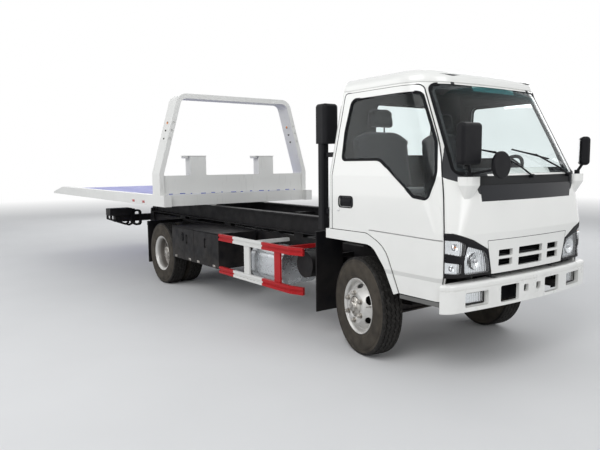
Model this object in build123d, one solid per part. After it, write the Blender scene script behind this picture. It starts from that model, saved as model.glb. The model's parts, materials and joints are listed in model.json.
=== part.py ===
from build123d import *
import os
from math import asin, atan2, cos, hypot, radians, sin, sqrt

# Light flatbed tow truck: cab over the engine, a bed that slides and tilts, a wheel lift behind.
# Sizes are in millimetres and angles in degrees. Every piece is drawn from the front axle:
# +X forward, +Y to the left, +Z up, with z = 0 on the ground. When the pieces are written, all
# of them move along X, so that the origin lies on the ground at mid-length.

# Running gears and clearances
WHEELBASE = 3815
FRONT_TRACK = 1504
REAR_TRACK = 1425
TYRE_RADIUS = 397
TYRE_WIDTH = 200
TWIN_SPACING = 235
BEAD_RADIUS = 205
FLANGE_RADIUS = 229
RIM_HALF_WIDTH = 82
BEAD_HALF_WIDTH = 70
FLANGE_LEAN = 3
RIM_WALL = 10
KINGPIN_Y = 660
KINGPIN_RADIUS = 20
STEER_AT_REST = -12
FRONT_SPINDLE_RADIUS = 32
REAR_SPINDLE_RADIUS = 45
AXLE_TUBE_RADIUS = 60
RUN_FIT = 0.05
SKIN_GAP = 0.3
SEAM = 4

# Ladder frame
RAIL_FRONT = 800
RAIL_REAR = -5400
RAIL_TOP = 800
RAIL_HEIGHT = 190
RAIL_WIDTH = 65
RAIL_OUTER_Y = 420
RAIL_WALL = 8
RAIL_INNER_Y = RAIL_OUTER_Y - RAIL_WIDTH
RAIL_BOTTOM = RAIL_TOP - RAIL_HEIGHT
CROSS_MEMBER_LENGTH = 70
CAB_PIVOT_X = 930
CAB_PIVOT_Z = 672
CAB_PIVOT_RADIUS = 12
CAB_ARM_Y = 387
CAB_ARM_WIDTH = 24
PIVOT_EAR_WIDTH = 10

# Springs and driveline
SPRING_Y = 380
SPRING_WIDTH = 62
LEAF_THICKNESS = 11
FRONT_LEAF_Z = TYRE_RADIUS - 28
REAR_LEAF_Z = TYRE_RADIUS + AXLE_TUBE_RADIUS + 4
# Leaf springs: axle x, seat height, half length, camber, number of leaves
SPRINGS = [
    (0, FRONT_LEAF_Z, 590, 125, 5),
    (-WHEELBASE, REAR_LEAF_Z, 620, 30, 6),
]
PINION_X = -WHEELBASE + 330
PINION_Z = TYRE_RADIUS + 40
GEARBOX_REAR = -1200
GEARBOX_Z = 640
SHAFT_RADIUS = 38

# Cab body
CAB_WALL = 45
PANEL_DEPTH = 25
CAB_FLOOR_Z = 980
CAB_FLOOR_THICKNESS = 30
CAB_FRONT_FLOOR_Z = 850
ROOF_LINE = 2128
ROOF_TOP = 2222
ROOF_EDGE_RADIUS = 80
ROOF_LIP = 7
REAR_CORNER_RADIUS = 48
NOSE_BOTTOM = 757
SCREEN_BASE = 1447
DOOR_FRONT_X = 844
GLASS_THICKNESS = 5
GLASS_INSET = 8
GLASS_LEDGE = 40
DOOR_FLANGE = 30
DOOR_CLEARANCE = 5

# Horizontal sections of the cab body: height, rear, half width, front, front arc, corner arc
CAB_SECTIONS = [
    (540, -397, 860, 952, 6000, 130),
    (1050, -395, 860, 968, 6000, 160),
    (SCREEN_BASE, -388, 860, 950, 6200, 340),
    (ROOF_LINE, -333, 757, 602, 5000, 300),
]

# Door edge in side view, from its lower front corner, with a corner radius at each point
DOOR_EDGE = [
    (DOOR_FRONT_X - 18, 590, 12),
    (DOOR_FRONT_X, 770, 0),
    (DOOR_FRONT_X, 1040, 900),
    (778, 1530, 1500),
    (498, 2106, 60),
    (-262, 2106, 30),
    (-322, 1450, 0),
    (-322, 1008, 10),
    (100, 1008, 160),
    (300, 915, 260),
    (452, 590, 6),
]
# Door window edge, from the tip below the front corner
WINDOW_EDGE = [
    (575, 1300, 40),
    (708, 1285, 40),
    (752, 1450, 200),
    (690, 1690, 900),
    (505, 2058, 70),
    (-178, 2058, 60),
    (-222, 1800, 500),
    (-222, 1568, 40),
    (215, 1568, 120),
]
# White flange over the front wheel: its tyre-side edge, with a corner radius at each point
ARCH_EDGE = [
    (402, 573, 0),
    (300, 760, 220),
    (165, 918, 150),
    (-397, 925, 0),
]
ARCH_PROUD = 10
CAB_PAN_HALF_WIDTH = 785

# Windows, lamps and grille of the cab, as front views with (y, z) corners
SCREEN_EDGE = [
    (-742, SCREEN_BASE + 14),
    (742, SCREEN_BASE + 14),
    (655, ROOF_LINE - 16),
    (-655, ROOF_LINE - 16),
]
SCREEN_CORNERS = [40, 40, 60, 60]
REAR_WINDOW = (-375, 375, 1600, 2060)
PANEL_LOW = 752
HEADLAMP_EDGE = [
    (880, 1062),
    (880, PANEL_LOW),
    (446, PANEL_LOW),
    (452, 776),
    (491, 936),
    (640, 1010),
    (800, 1062),
]
GRILLE_EDGE = [
    (-443, PANEL_LOW),
    (443, PANEL_LOW),
    (448, 776),
    (487, 940),
    (494, 995),
    (-494, 995),
    (-487, 940),
    (-448, 776),
]
# Grille slots: lowest and highest y, bottom, top; a slot off the middle has a twin
GRILLE_SLOTS = [
    (222, 376, 875, 922),
    (222, 376, 806, 856),
    (-150, 150, 874, 926),
    (-150, 150, 790, 850),
]
STRIP_LOW = (556, 1272)
STRIP_HIGH = (573, 1378)
STRIP_TOP_Y = 565
DASH_TOP = 1435

# Mirrors: y span, x span and z span of the right head; the left one is shorter and turned
MIRROR_Y = (646, 846)
MIRROR_X = (925, 1000)
MIRROR_Z_RIGHT = (1525, 1805)
MIRROR_Z_LEFT = (1512, 1738)
LEFT_MIRROR_Y = 700
LEFT_MIRROR_TURN = 33

# Bumper
BUMPER_FRONT = 985
BUMPER_REAR = 865
BUMPER_TOP = 722
BUMPER_BOTTOM = 522
BUMPER_HALF_WIDTH = 918
BUMPER_CORNER = 130
BUMPER_WALL = 25
BUMPER_ARC = 6000
FOG_LAMP = (500, 725, 552, 655)
BUMPER_HOLES = [(165, 372, 545, 665), (50, 108, 590, 645)]
HOLE_CORNER = 14

# Bed
BED_FRONT = -3215
BED_LENGTH = 5335
BED_HALF_WIDTH = 1118
BED_TOP = 1180
BED_BOTTOM = 1043
DECK_TOP = 1150
DECK_THICKNESS = 8
DECK_STEP = 3
BED_RAIL_WIDTH = 100
BED_RAIL_WALL = 8
BED_TAIL_LENGTH = 650
BED_TIP_TOP = 1075
FRONT_BEAM_SETBACK = 85
SILL_Y = 400
BED_BEAM_COUNT = 9
BED_BEAM_LENGTH = 60
BED_SLIDE_FORWARD = 2490
BED_SLIDE_BACK = 800
BED_TILT = 14.5

# Tilting sub-frame
SUB_FRONT = -900
SUB_REAR = -5200
SUB_TOP = 1030
SUB_BOTTOM = 840
SUB_FLANGE_WIDTH = 100
SUB_FLANGE = 14
SUB_WEB = 12
SUB_CROSS = [-1000, -1900, -3800, -4600, -5140]
SUB_CROSS_LENGTH = 60
SUB_CROSS_HEIGHT = 44
TILT_HINGE_X = -5300
TILT_HINGE_Z = 860
TILT_SHAFT_RADIUS = 25
TILT_ARM_WIDTH = 30
TILT_EAR_WIDTH = 20

# Cylinders
CYLINDER_Y = 220
BARREL_PIN_X = -3350
BARREL_PIN_Z = 660
ROD_EYE_X = -2250
ROD_EYE_Z = 900
BARREL_RADIUS = 50
BARREL_BORE = 36
TILT_ROD_RADIUS = 30
BARREL_PIN_RADIUS = 30
SLIDE_Z = 935
SLIDE_BARREL_RADIUS = 45
SLIDE_BARREL_BORE = 32
SLIDE_ROD_RADIUS = 25
SLIDE_BARREL_FRONT = -1080
SLIDE_BARREL_REAR = -4650
SLIDE_BEAM = 7
SLIDE_ROD_OVERLAP = 210

# Headboard
LOOP_FRONT = -3350
LOOP_DEPTH = 230
LOOP_TOP = 2434
LOOP_INSET = 8
LOOP_HALF_WIDTH = BED_HALF_WIDTH - LOOP_INSET
LOOP_KINK_Z = 1450
LOOP_LEAN = 282
LOOP_TOP_HALF_WIDTH = LOOP_HALF_WIDTH - LOOP_LEAN
LOOP_THICKNESS = 60
LOOP_CORNER = 150
PLATE_TOP = 1420
PLATE_THICKNESS = 12
POST_TOP = 1660
POST_SPANS = [(-680, -460), (340, 570)]
POST_DEPTH = 140
WINCH_X = -3720
WINCH_Z = 1262
DRUM_RADIUS = 55
DRUM_LENGTH = 300
DRUM_FLANGE_RADIUS = 88
WINCH_SHAFT_RADIUS = 18

# Boxes and guards beside the frame
TOOL_BOX_FRONT = -2170
TOOL_BOX_REAR = -3390
TOOL_BOX_BOTTOM = 410
TOOL_BOX_TOP = 800
TOOL_BOX_INNER_Y = 470
TOOL_BOX_OUTER_Y = 952
TOOL_DOOR_THICKNESS = 25
BOX_WALL = 12
TOOL_DOOR_GAP = 6
GUARD_Y = 952
GUARD_STRAIGHT_END = -835
GUARD_END = (-690, 905)
GUARD_THICKNESS = 30
GUARD_HEIGHT = 70
GUARD_RIB = 10
GUARD_LEVELS = [375, 730]
GUARD_ARMS = [-1600, -1045]

# Mud flaps and tail lamps
FRONT_PANEL_X = -560
FLAP_X = -4270
FLAP_Y = (505, 925)
FLAP_HANGER_Z = (735, 790)
TAIL_LAMP_X = FLAP_X - 14
TAIL_LAMP_Y = (560, 860)
TAIL_LAMP_Z = (700, 790)

# Wheel lift
LIFT_PIVOT_X = -4250
LIFT_Z = 738
LIFT_PIVOT_RADIUS = 25
BOOM_SIZE = 112
BOOM_WALL = 9
BOOM_REAR = -5440
SLIDER_SIZE = BOOM_SIZE - 2 * (BOOM_WALL + SKIN_GAP)
SLIDER_FRONT = -4380
CROSSBAR_X = -5540
CROSSBAR_SIZE = 100
CROSSBAR_HALF_LENGTH = 960

# The mirrors reach furthest forward and the bed's tail furthest back
ROUND_MIRROR_X = 1080
MIRROR_GLASS_DEPTH = 26
MIRROR_BLOCK_DROP = 2
MIRROR_FOOT = (924, 676)
MIRROR_FOOT_RADIUS = 20
MODEL_FRONT = ROUND_MIRROR_X + MIRROR_GLASS_DEPTH
MODEL_REAR = BED_FRONT - BED_LENGTH
FRONT_AXLE_X = -(MODEL_FRONT + MODEL_REAR) / 2

NODES = {}


# Drawing helpers
def outline(points, radius=0):
    """A closed flat face; radius is one value for all corners, or one for each."""
    if radius == 0:
        return make_face(Polyline(*points, close=True))
    return make_face(FilletPolyline(*points, radius=radius, close=True))


def edge_face(table):
    """A closed face from rows of two coordinates and a corner radius."""
    return outline([row[:2] for row in table], [row[2] for row in table])


def across(face, y_low, y_high):
    """A face drawn in X and Z, made solid between two values of Y."""
    plane = Plane(origin=(0, y_high, 0), x_dir=(1, 0, 0), z_dir=(0, -1, 0))
    return extrude(plane * face, y_high - y_low, dir=(0, -1, 0))


def along(face, x_low, x_high):
    """A face drawn in Y and Z, made solid between two values of X."""
    plane = Plane(origin=(x_low, 0, 0), x_dir=(0, 1, 0), z_dir=(1, 0, 0))
    return extrude(plane * face, x_high - x_low, dir=(1, 0, 0))


def upright(face, z_low, z_high):
    """A face drawn in X and Y, made solid between two heights."""
    return extrude(Pos(0, 0, z_low) * face, z_high - z_low, dir=(0, 0, 1))


def block(x, y, z):
    """A box from pairs of low and high values."""
    size = [high - low for low, high in (x, y, z)]
    centre = [(low + high) / 2 for low, high in (x, y, z)]
    return Pos(*centre) * Box(*size)


def flat_rect(low_a, high_a, low_b, high_b, radius=0):
    """A rectangle from its limits, with rounded corners if radius is given."""
    points = [(low_a, low_b), (high_a, low_b), (high_a, high_b), (low_a, high_b)]
    return outline(points, radius)


def bar(start, end, radius, bore=0):
    """A round bar, or a tube if bore is given, from one point to another."""
    way = Vector(*end) - Vector(*start)
    plane = Plane(origin=start, z_dir=way)
    solid = extrude(plane * Circle(radius), way.length)
    if bore:
        solid -= extrude(plane * Circle(bore), way.length)
    return solid


def turned(points, radius=0):
    """A face of Y and radius, turned about the Y axis."""
    return revolve(Plane.YZ * outline(points, radius), Axis.Y)


def mirrored(solid):
    return mirror(solid, about=Plane.XZ)


def both_sides(solid):
    return solid + mirrored(solid)


def keep(name, solid):
    """Store a piece under its node name."""
    NODES[name] = solid


def keep_pair(name, left_solid):
    """Store a left piece and its mirror image on the right."""
    keep(name + "_left", left_solid)
    keep(name + "_right", mirrored(left_solid))


# Wheels
def tyre():
    """A tyre about the Y axis, its middle plane at y = 0."""
    half = TYRE_WIDTH / 2
    seat = BEAD_RADIUS + SKIN_GAP
    bead = BEAD_HALF_WIDTH - SKIN_GAP
    points = [
        (-bead, seat),
        (bead, seat),
        (bead + FLANGE_LEAN, FLANGE_RADIUS + SKIN_GAP),
        (RIM_HALF_WIDTH + 6, FLANGE_RADIUS + 6),
        (half, TYRE_RADIUS - 95),
        (half - 4, TYRE_RADIUS - 40),
        (half - 20, TYRE_RADIUS),
        (-half + 20, TYRE_RADIUS),
        (-half + 4, TYRE_RADIUS - 40),
        (-half, TYRE_RADIUS - 95),
        (-RIM_HALF_WIDTH - 6, FLANGE_RADIUS + 6),
        (-bead - FLANGE_LEAN, FLANGE_RADIUS + SKIN_GAP),
    ]
    return turned(points, [0, 0, 0, 6, 60, 30, 14, 14, 30, 60, 6, 0])


def rim(face_y, dish):
    """A rim about the Y axis: its bolting face at face_y, and the disc's rise out of the barrel."""
    inner = BEAD_RADIUS - RIM_WALL
    barrel = turned([
        (-RIM_HALF_WIDTH, inner),
        (RIM_HALF_WIDTH, inner),
        (RIM_HALF_WIDTH, FLANGE_RADIUS),
        (BEAD_HALF_WIDTH + FLANGE_LEAN, FLANGE_RADIUS),
        (BEAD_HALF_WIDTH, BEAD_RADIUS),
        (-BEAD_HALF_WIDTH, BEAD_RADIUS),
        (-BEAD_HALF_WIDTH - FLANGE_LEAN, FLANGE_RADIUS),
        (-RIM_HALF_WIDTH, FLANGE_RADIUS),
    ])
    root_y = face_y - dish
    disc = turned([
        (root_y, inner + 2),
        (face_y, 138),
        (face_y, 60),
        (face_y - RIM_WALL, 60),
        (face_y - RIM_WALL, 132),
        (root_y - RIM_WALL, inner + 2),
    ])
    for turn in range(6):
        hole = Rot(0, 60 * turn, 0) * Pos(0, 0, 163) * Rot(90, 0, 0)
        disc -= hole * extrude(Ellipse(26, 17), 300, both=True)
    return barrel + disc


def front_wheel_rim():
    """Rim, hub and drum of the left front wheel, its middle plane at y = 0."""
    solid = rim(70, 38)
    solid += turned([(-24, 50), (-12, 50), (-12, 150), (-68, 150), (-68, 138), (-24, 138)])
    solid += turned([(-26, 0), (66, 0), (66, 92), (-26, 62)])
    solid += turned([(60, 0), (112, 0), (112, 44), (100, 52), (60, 58)], [0, 0, 6, 6, 0])
    bore = FRONT_SPINDLE_RADIUS + RUN_FIT
    solid -= turned([(-80, 0), (52, 0), (52, bore), (-80, bore)])
    return solid


def steered(solid):
    """Turn a left wheel piece about its kingpin as it stands at rest."""
    return Pos(0, KINGPIN_Y, 0) * Rot(0, 0, STEER_AT_REST) * Pos(0, -KINGPIN_Y, 0) * solid


def steered_right(solid):
    return Pos(0, -KINGPIN_Y, 0) * Rot(0, 0, STEER_AT_REST) * Pos(0, KINGPIN_Y, 0) * solid


def make_front_wheels():
    centre = Pos(0, FRONT_TRACK / 2, TYRE_RADIUS)
    for name, piece in (("front_tyre", tyre()), ("front_rim", front_wheel_rim())):
        straight = centre * piece
        keep(name + "_left", steered(straight))
        keep(name + "_right", steered_right(mirrored(straight)))


def make_knuckles():
    """Fork, kingpin, spindle and steering arm of each front wheel."""
    half_fork = 80
    lug = 32
    mid = TYRE_RADIUS
    solid = bar((0, KINGPIN_Y, mid - half_fork - 4), (0, KINGPIN_Y, mid + half_fork + 4), KINGPIN_RADIUS)
    for z in (mid - half_fork, mid + half_fork - lug):
        solid += upright(flat_rect(-38, 38, KINGPIN_Y - 36, KINGPIN_Y + 60, 30), z, z + lug)
    solid += block((-38, 38), (KINGPIN_Y + 42, KINGPIN_Y + 62), (mid - half_fork, mid + half_fork))
    solid += bar((0, KINGPIN_Y + 50, mid), (0, FRONT_TRACK / 2 + 48, mid), FRONT_SPINDLE_RADIUS)
    arm = outline([(-30, KINGPIN_Y + 30), (-30, KINGPIN_Y - 10), (-150, KINGPIN_Y - 50),
                   (-175, KINGPIN_Y - 30), (-150, KINGPIN_Y)], 12)
    solid += upright(arm, mid - half_fork, mid - half_fork + 20)
    keep("knuckle_left", steered(solid))
    keep("knuckle_right", steered_right(mirrored(solid)))


def rear_wheels():
    """The left twin wheels, drawn about the middle between them at y = 0."""
    out = Pos(0, TWIN_SPACING / 2, 0)
    inn = Pos(0, -TWIN_SPACING / 2, 0) * Rot(0, 0, 180)
    tyres = out * tyre() + inn * tyre()
    face = -TWIN_SPACING / 2 + RIM_WALL
    half_rim = rim(face, -42)
    rims = out * half_rim + inn * half_rim
    rims += turned([(-160, 0), (150, 0), (150, 62), (20, 74), (-60, 74), (-60, 165), (-185, 165), (-185, 152),
                    (-72, 152), (-72, 100), (-160, 100)])
    bore = REAR_SPINDLE_RADIUS + RUN_FIT
    rims -= turned([(-190, 0), (122, 0), (122, bore), (-190, bore)])
    return tyres, rims


def make_rear_wheels():
    place = Pos(-WHEELBASE, REAR_TRACK / 2, TYRE_RADIUS)
    tyres, rims = rear_wheels()
    keep_pair("rear_tyres", place * tyres)
    keep_pair("rear_rims", place * rims)


# Axles, springs and drive
def make_front_axle():
    """Dropped I-section beam with an eye round each kingpin and two spring seats."""
    mid = TYRE_RADIUS
    eye = KINGPIN_Y - 34
    upper = [(eye, mid + 33), (560, mid + 28), (480, mid - 36)]
    lower = [(500, mid - 112), (590, mid - 48), (eye, mid - 33)]
    points = upper + [(-y, z) for y, z in upper[::-1] + lower[::-1]] + lower
    face = outline(points, [0, 60, 60, 60, 60, 0, 0, 60, 60, 60, 60, 0])
    beam = along(face, -36, 36)
    pocket = flat_rect(-470, 470, mid - 98, mid - 50, 12)
    for side in (-1, 1):
        beam -= Pos(side * 36, 0, 0) * along(pocket, -24, 24)
    eye_half = 45
    for side in (-1, 1):
        y = side * KINGPIN_Y
        beam += bar((0, y, mid - eye_half), (0, y, mid + eye_half), 36)
        beam -= bar((0, y, mid - 100), (0, y, mid + 100), KINGPIN_RADIUS + RUN_FIT)
        beam += block((-50, 50), (side * SPRING_Y - 38, side * SPRING_Y + 38), (mid - 40, FRONT_LEAF_Z))
    keep("front_axle", beam)


def leaf_pack(seat_z, half_length, camber, count):
    """A pack of leaves curved upward to its ends; the longest lies on top."""
    arc = (half_length ** 2 + camber ** 2) / (2 * camber)
    top_z = seat_z + count * LEAF_THICKNESS
    pack = None
    for leaf in range(count):
        reach = half_length * (1 - leaf / (count + 0.5))
        radius = arc + leaf * LEAF_THICKNESS
        outer = radius + LEAF_THICKNESS
        swing = asin(reach / arc)
        centre = top_z + arc

        def point(r, angle):
            return (r * sin(angle), centre - r * cos(angle))

        edges = [
            ThreePointArc(point(radius, -swing), point(radius, 0), point(radius, swing)),
            Line(point(radius, swing), point(outer, swing)),
            ThreePointArc(point(outer, swing), point(outer, 0), point(outer, -swing)),
            Line(point(outer, -swing), point(radius, -swing)),
        ]
        piece = across(make_face(edges), -SPRING_WIDTH / 2, SPRING_WIDTH / 2)
        pack = piece if pack is None else pack + piece
    return pack, top_z + camber - LEAF_THICKNESS / 2


def make_springs():
    """Leaf springs with their eyes, front hangers and rear shackles under the rails."""
    springs = None
    for axle_x, seat_z, half_length, camber, count in SPRINGS:
        pack, eye_z = leaf_pack(seat_z, half_length, camber, count)
        for end in (-1, 1):
            eye_x = end * half_length
            pack += bar((eye_x, -SPRING_WIDTH / 2, eye_z), (eye_x, SPRING_WIDTH / 2, eye_z), 24)
            hanger = outline([(eye_x - 60, RAIL_BOTTOM), (eye_x + 60, RAIL_BOTTOM),
                              (eye_x + 28, eye_z - 20), (eye_x - 28, eye_z - 20)], [0, 0, 8, 8])
            for y in (-SPRING_WIDTH / 2 - 8, SPRING_WIDTH / 2):
                pack += across(hanger, y, y + 8)
        pack = Pos(axle_x, SPRING_Y, 0) * pack
        springs = both_sides(pack) if springs is None else springs + both_sides(pack)
    keep("leaf_springs", springs)


def make_rear_axle():
    """Axle housing with its banjo, spring seats, back plates and propeller shaft."""
    mid = TYRE_RADIUS
    x = -WHEELBASE
    spindle_end = REAR_TRACK / 2 + 118
    tube_end = REAR_TRACK / 2 - 166
    solid = bar((x, -tube_end, mid), (x, tube_end, mid), AXLE_TUBE_RADIUS)
    solid += bar((x, -spindle_end, mid), (x, spindle_end, mid), REAR_SPINDLE_RADIUS)
    solid += Pos(x, 0, mid) * Sphere(165)
    solid += bar((x, 0, mid), (PINION_X + 30, 0, PINION_Z - 6), 70)
    for side in (-1, 1):
        y = side * SPRING_Y
        plate_y = side * (REAR_TRACK / 2 - 200)
        solid += block((x - 60, x + 60), (y - 40, y + 40), (mid, REAR_LEAF_Z))
        solid += bar((x, plate_y - 5, mid), (x, plate_y + 5, mid), 150)
    start = (GEARBOX_REAR - 5, 0, GEARBOX_Z)
    solid += bar((start[0] - 30, 0, GEARBOX_Z), (PINION_X, 0, PINION_Z), SHAFT_RADIUS)
    for end, sign in ((start, -1), ((PINION_X, 0, PINION_Z), 1)):
        solid += bar(end, (end[0] + sign * 60, 0, end[2]), 62)
    keep("rear_axle", solid)


def make_engine():
    """Engine and gearbox as one plain mass between the rails, with four mounting feet."""
    solid = across(outline([(-650, 500), (60, 500), (130, 580), (130, 880), (60, 925), (-650, 925)], 20),
                   -240, 240)
    bell = Plane(origin=(-650, 0, 690), x_dir=(0, 1, 0), z_dir=(-1, 0, 0)) * RectangleRounded(400, 340, 60)
    tail = Plane(origin=(GEARBOX_REAR, 0, GEARBOX_Z), x_dir=(0, 1, 0), z_dir=(-1, 0, 0))
    solid += loft([bell, tail * RectangleRounded(170, 160, 60)])
    foot_y = RAIL_OUTER_Y - RAIL_WALL
    for x in (-560, -60):
        solid += block((x, x + 80), (-foot_y, foot_y), (RAIL_BOTTOM + RAIL_WALL, RAIL_BOTTOM + 60))
    keep("engine_block", solid)


def make_exhaust():
    """Silencer and pipes under the left rail, held by two straps."""
    y = 230
    z = 505
    engine_rear = -650
    solid = bar((-2350, y, z), (-1650, y, z), 88)
    solid += bar((-3250, y, z), (engine_rear - SKIN_GAP, y, z), 28)
    for x in (-2250, -1750):
        solid += block((x - 20, x + 20), (y + 30, RAIL_INNER_Y + 30), (z + 82, RAIL_BOTTOM))
        solid += bar((x - 20, y, z), (x + 20, y, z), 92)
        solid += block((x - 20, x + 20), (y - 5, y + 60), (z + 70, RAIL_BOTTOM))
    solid += block((-3120, -3090), (y, RAIL_INNER_Y + 30), (z + 60, RAIL_BOTTOM))
    solid += block((-3120, -3090), (y - 20, y + 20), (z + 20, z + 75))
    keep("exhaust", solid)


# Chassis
def make_chassis_frame():
    """Two channel rails tied by cross members, with the cab's pivots and the tilt hinge's ears."""
    section = outline([
        (RAIL_INNER_Y, RAIL_BOTTOM), (RAIL_OUTER_Y, RAIL_BOTTOM),
        (RAIL_OUTER_Y, RAIL_TOP), (RAIL_INNER_Y, RAIL_TOP),
        (RAIL_INNER_Y, RAIL_TOP - RAIL_WALL), (RAIL_OUTER_Y - RAIL_WALL, RAIL_TOP - RAIL_WALL),
        (RAIL_OUTER_Y - RAIL_WALL, RAIL_BOTTOM + RAIL_WALL), (RAIL_INNER_Y, RAIL_BOTTOM + RAIL_WALL),
    ])
    frame = both_sides(along(section, RAIL_REAR, RAIL_FRONT))
    web_y = RAIL_OUTER_Y - RAIL_WALL
    # Cross members: x, bottom, top
    for x, z_low, z_high in [
        (700, RAIL_BOTTOM + 20, RAIL_TOP - 20),
        (-1400, 700, RAIL_TOP - RAIL_WALL),
        (-2100, 700, RAIL_TOP - RAIL_WALL),
        (-4120, 700, RAIL_TOP - RAIL_WALL),
    ]:
        cross = block((x, x + CROSS_MEMBER_LENGTH), (-web_y, web_y), (z_low, z_high))
        cross -= block((x - 1, x + CROSS_MEMBER_LENGTH - RAIL_WALL), (-web_y - 1, web_y + 1),
                       (z_low + RAIL_WALL, z_high - RAIL_WALL))
        frame += cross
    frame += block((RAIL_REAR, RAIL_REAR + 40), (-RAIL_OUTER_Y, RAIL_OUTER_Y), (RAIL_TOP, RAIL_TOP + 22))
    frame += bar((BARREL_PIN_X, -web_y, BARREL_PIN_Z), (BARREL_PIN_X, web_y, BARREL_PIN_Z), BARREL_PIN_RADIUS)
    frame += bar((LIFT_PIVOT_X, -web_y, LIFT_Z), (LIFT_PIVOT_X, web_y, LIFT_Z), LIFT_PIVOT_RADIUS)
    # Ears of the tilt hinge, outside the rails
    ear = outline([(TILT_HINGE_X - 90, RAIL_BOTTOM + 60), (TILT_HINGE_X + 90, RAIL_BOTTOM + 60),
                   (TILT_HINGE_X + 48, TILT_HINGE_Z + 34), (TILT_HINGE_X - 48, TILT_HINGE_Z + 34)], 16)
    shaft = across(Pos(TILT_HINGE_X, TILT_HINGE_Z) * Circle(TILT_SHAFT_RADIUS + RUN_FIT), -600, 600)
    frame += both_sides(across(ear, RAIL_OUTER_Y, RAIL_OUTER_Y + TILT_EAR_WIDTH)) - shaft
    # Ears of the cab's tilt pivots, in front of the rails
    ear = outline([(RAIL_FRONT - 160, RAIL_BOTTOM + 12), (CAB_PIVOT_X, CAB_PIVOT_Z - 24),
                   (CAB_PIVOT_X + 14, CAB_PIVOT_Z - 14), (CAB_PIVOT_X + 14, CAB_PIVOT_Z + 12),
                   (CAB_PIVOT_X - 2, CAB_PIVOT_Z + 18), (RAIL_FRONT, RAIL_TOP - 60),
                   (RAIL_FRONT - 160, RAIL_TOP - 60)], [0, 0, 8, 8, 0, 0, 0])
    pin = across(Pos(CAB_PIVOT_X, CAB_PIVOT_Z) * Circle(CAB_PIVOT_RADIUS + RUN_FIT), -600, 600)
    clear = CAB_ARM_WIDTH / 2 + 2
    ears = across(ear, CAB_ARM_Y - clear - PIVOT_EAR_WIDTH, CAB_ARM_Y - clear)
    ears += across(ear, CAB_ARM_Y + clear, CAB_ARM_Y + clear + PIVOT_EAR_WIDTH)
    frame += both_sides(ears) - pin
    # Bumper stays, below the pivots
    stay = block((RAIL_FRONT - 100, BUMPER_FRONT), (RAIL_INNER_Y + 6, RAIL_OUTER_Y - 6),
                 (RAIL_BOTTOM - 50, RAIL_BOTTOM))
    stay = stay & upright(bumper_face(BUMPER_WALL, BUMPER_CORNER), 0, RAIL_TOP)
    frame += both_sides(stay)
    # Rear rest of the cab, a hoop over the gearbox
    hoop_x = (-425, -365)
    rest_top = CAB_FLOOR_Z - SKIN_GAP
    frame += block(hoop_x, (-RAIL_OUTER_Y, RAIL_OUTER_Y), (rest_top - 40, rest_top))
    frame += both_sides(block(hoop_x, (RAIL_OUTER_Y - 50, RAIL_OUTER_Y), (RAIL_TOP, rest_top)))
    # Rest pads of the sub-frame
    for x in (-1500, -3000, -4300):
        pad = block((x, x + 160), (SILL_Y - 40, RAIL_OUTER_Y), (RAIL_TOP, SUB_BOTTOM - SKIN_GAP))
        frame += both_sides(pad)
    keep("chassis_frame", frame)


def bumper_face(inset, corner):
    """The bumper seen from above: a shallow arc with rounded ends."""
    half = BUMPER_HALF_WIDTH - inset
    front = BUMPER_FRONT - inset
    return front_arc_face(BUMPER_REAR - 200, half, front, BUMPER_ARC, corner - inset, 0)


def front_arc_face(rear, half, front, arc, corner, rear_corner):
    """A closed face with a straight rear, an arc in front and tangent corner arcs."""
    centre = front - arc
    corner_x = centre + sqrt((arc - corner) ** 2 - (half - corner) ** 2)
    way = ((corner_x - centre) / (arc - corner), (half - corner) / (arc - corner))
    end = (centre + arc * way[0], arc * way[1])
    middle = (way[0], way[1] + 1)
    scale = corner / hypot(*middle)
    bend = (corner_x + middle[0] * scale, half - corner + middle[1] * scale)
    side = (corner_x, half)
    edges = [
        Line((rear + rear_corner, half), side),
        ThreePointArc(side, bend, end),
        ThreePointArc(end, (front, 0), (end[0], -end[1])),
        ThreePointArc((end[0], -end[1]), (bend[0], -bend[1]), (side[0], -side[1])),
        Line((side[0], -side[1]), (rear + rear_corner, -half)),
    ]
    if rear_corner == 0:
        edges.append(Line((rear, -half), (rear, half)))
    else:
        near = rear + rear_corner * (1 - sin(radians(45)))
        off = half - rear_corner * (1 - sin(radians(45)))
        edges += [
            ThreePointArc((rear + rear_corner, -half), (near, -off), (rear, -half + rear_corner)),
            Line((rear, -half + rear_corner), (rear, half - rear_corner)),
            ThreePointArc((rear, half - rear_corner), (near, off), (rear + rear_corner, half)),
        ]
    return make_face(edges)


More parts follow.
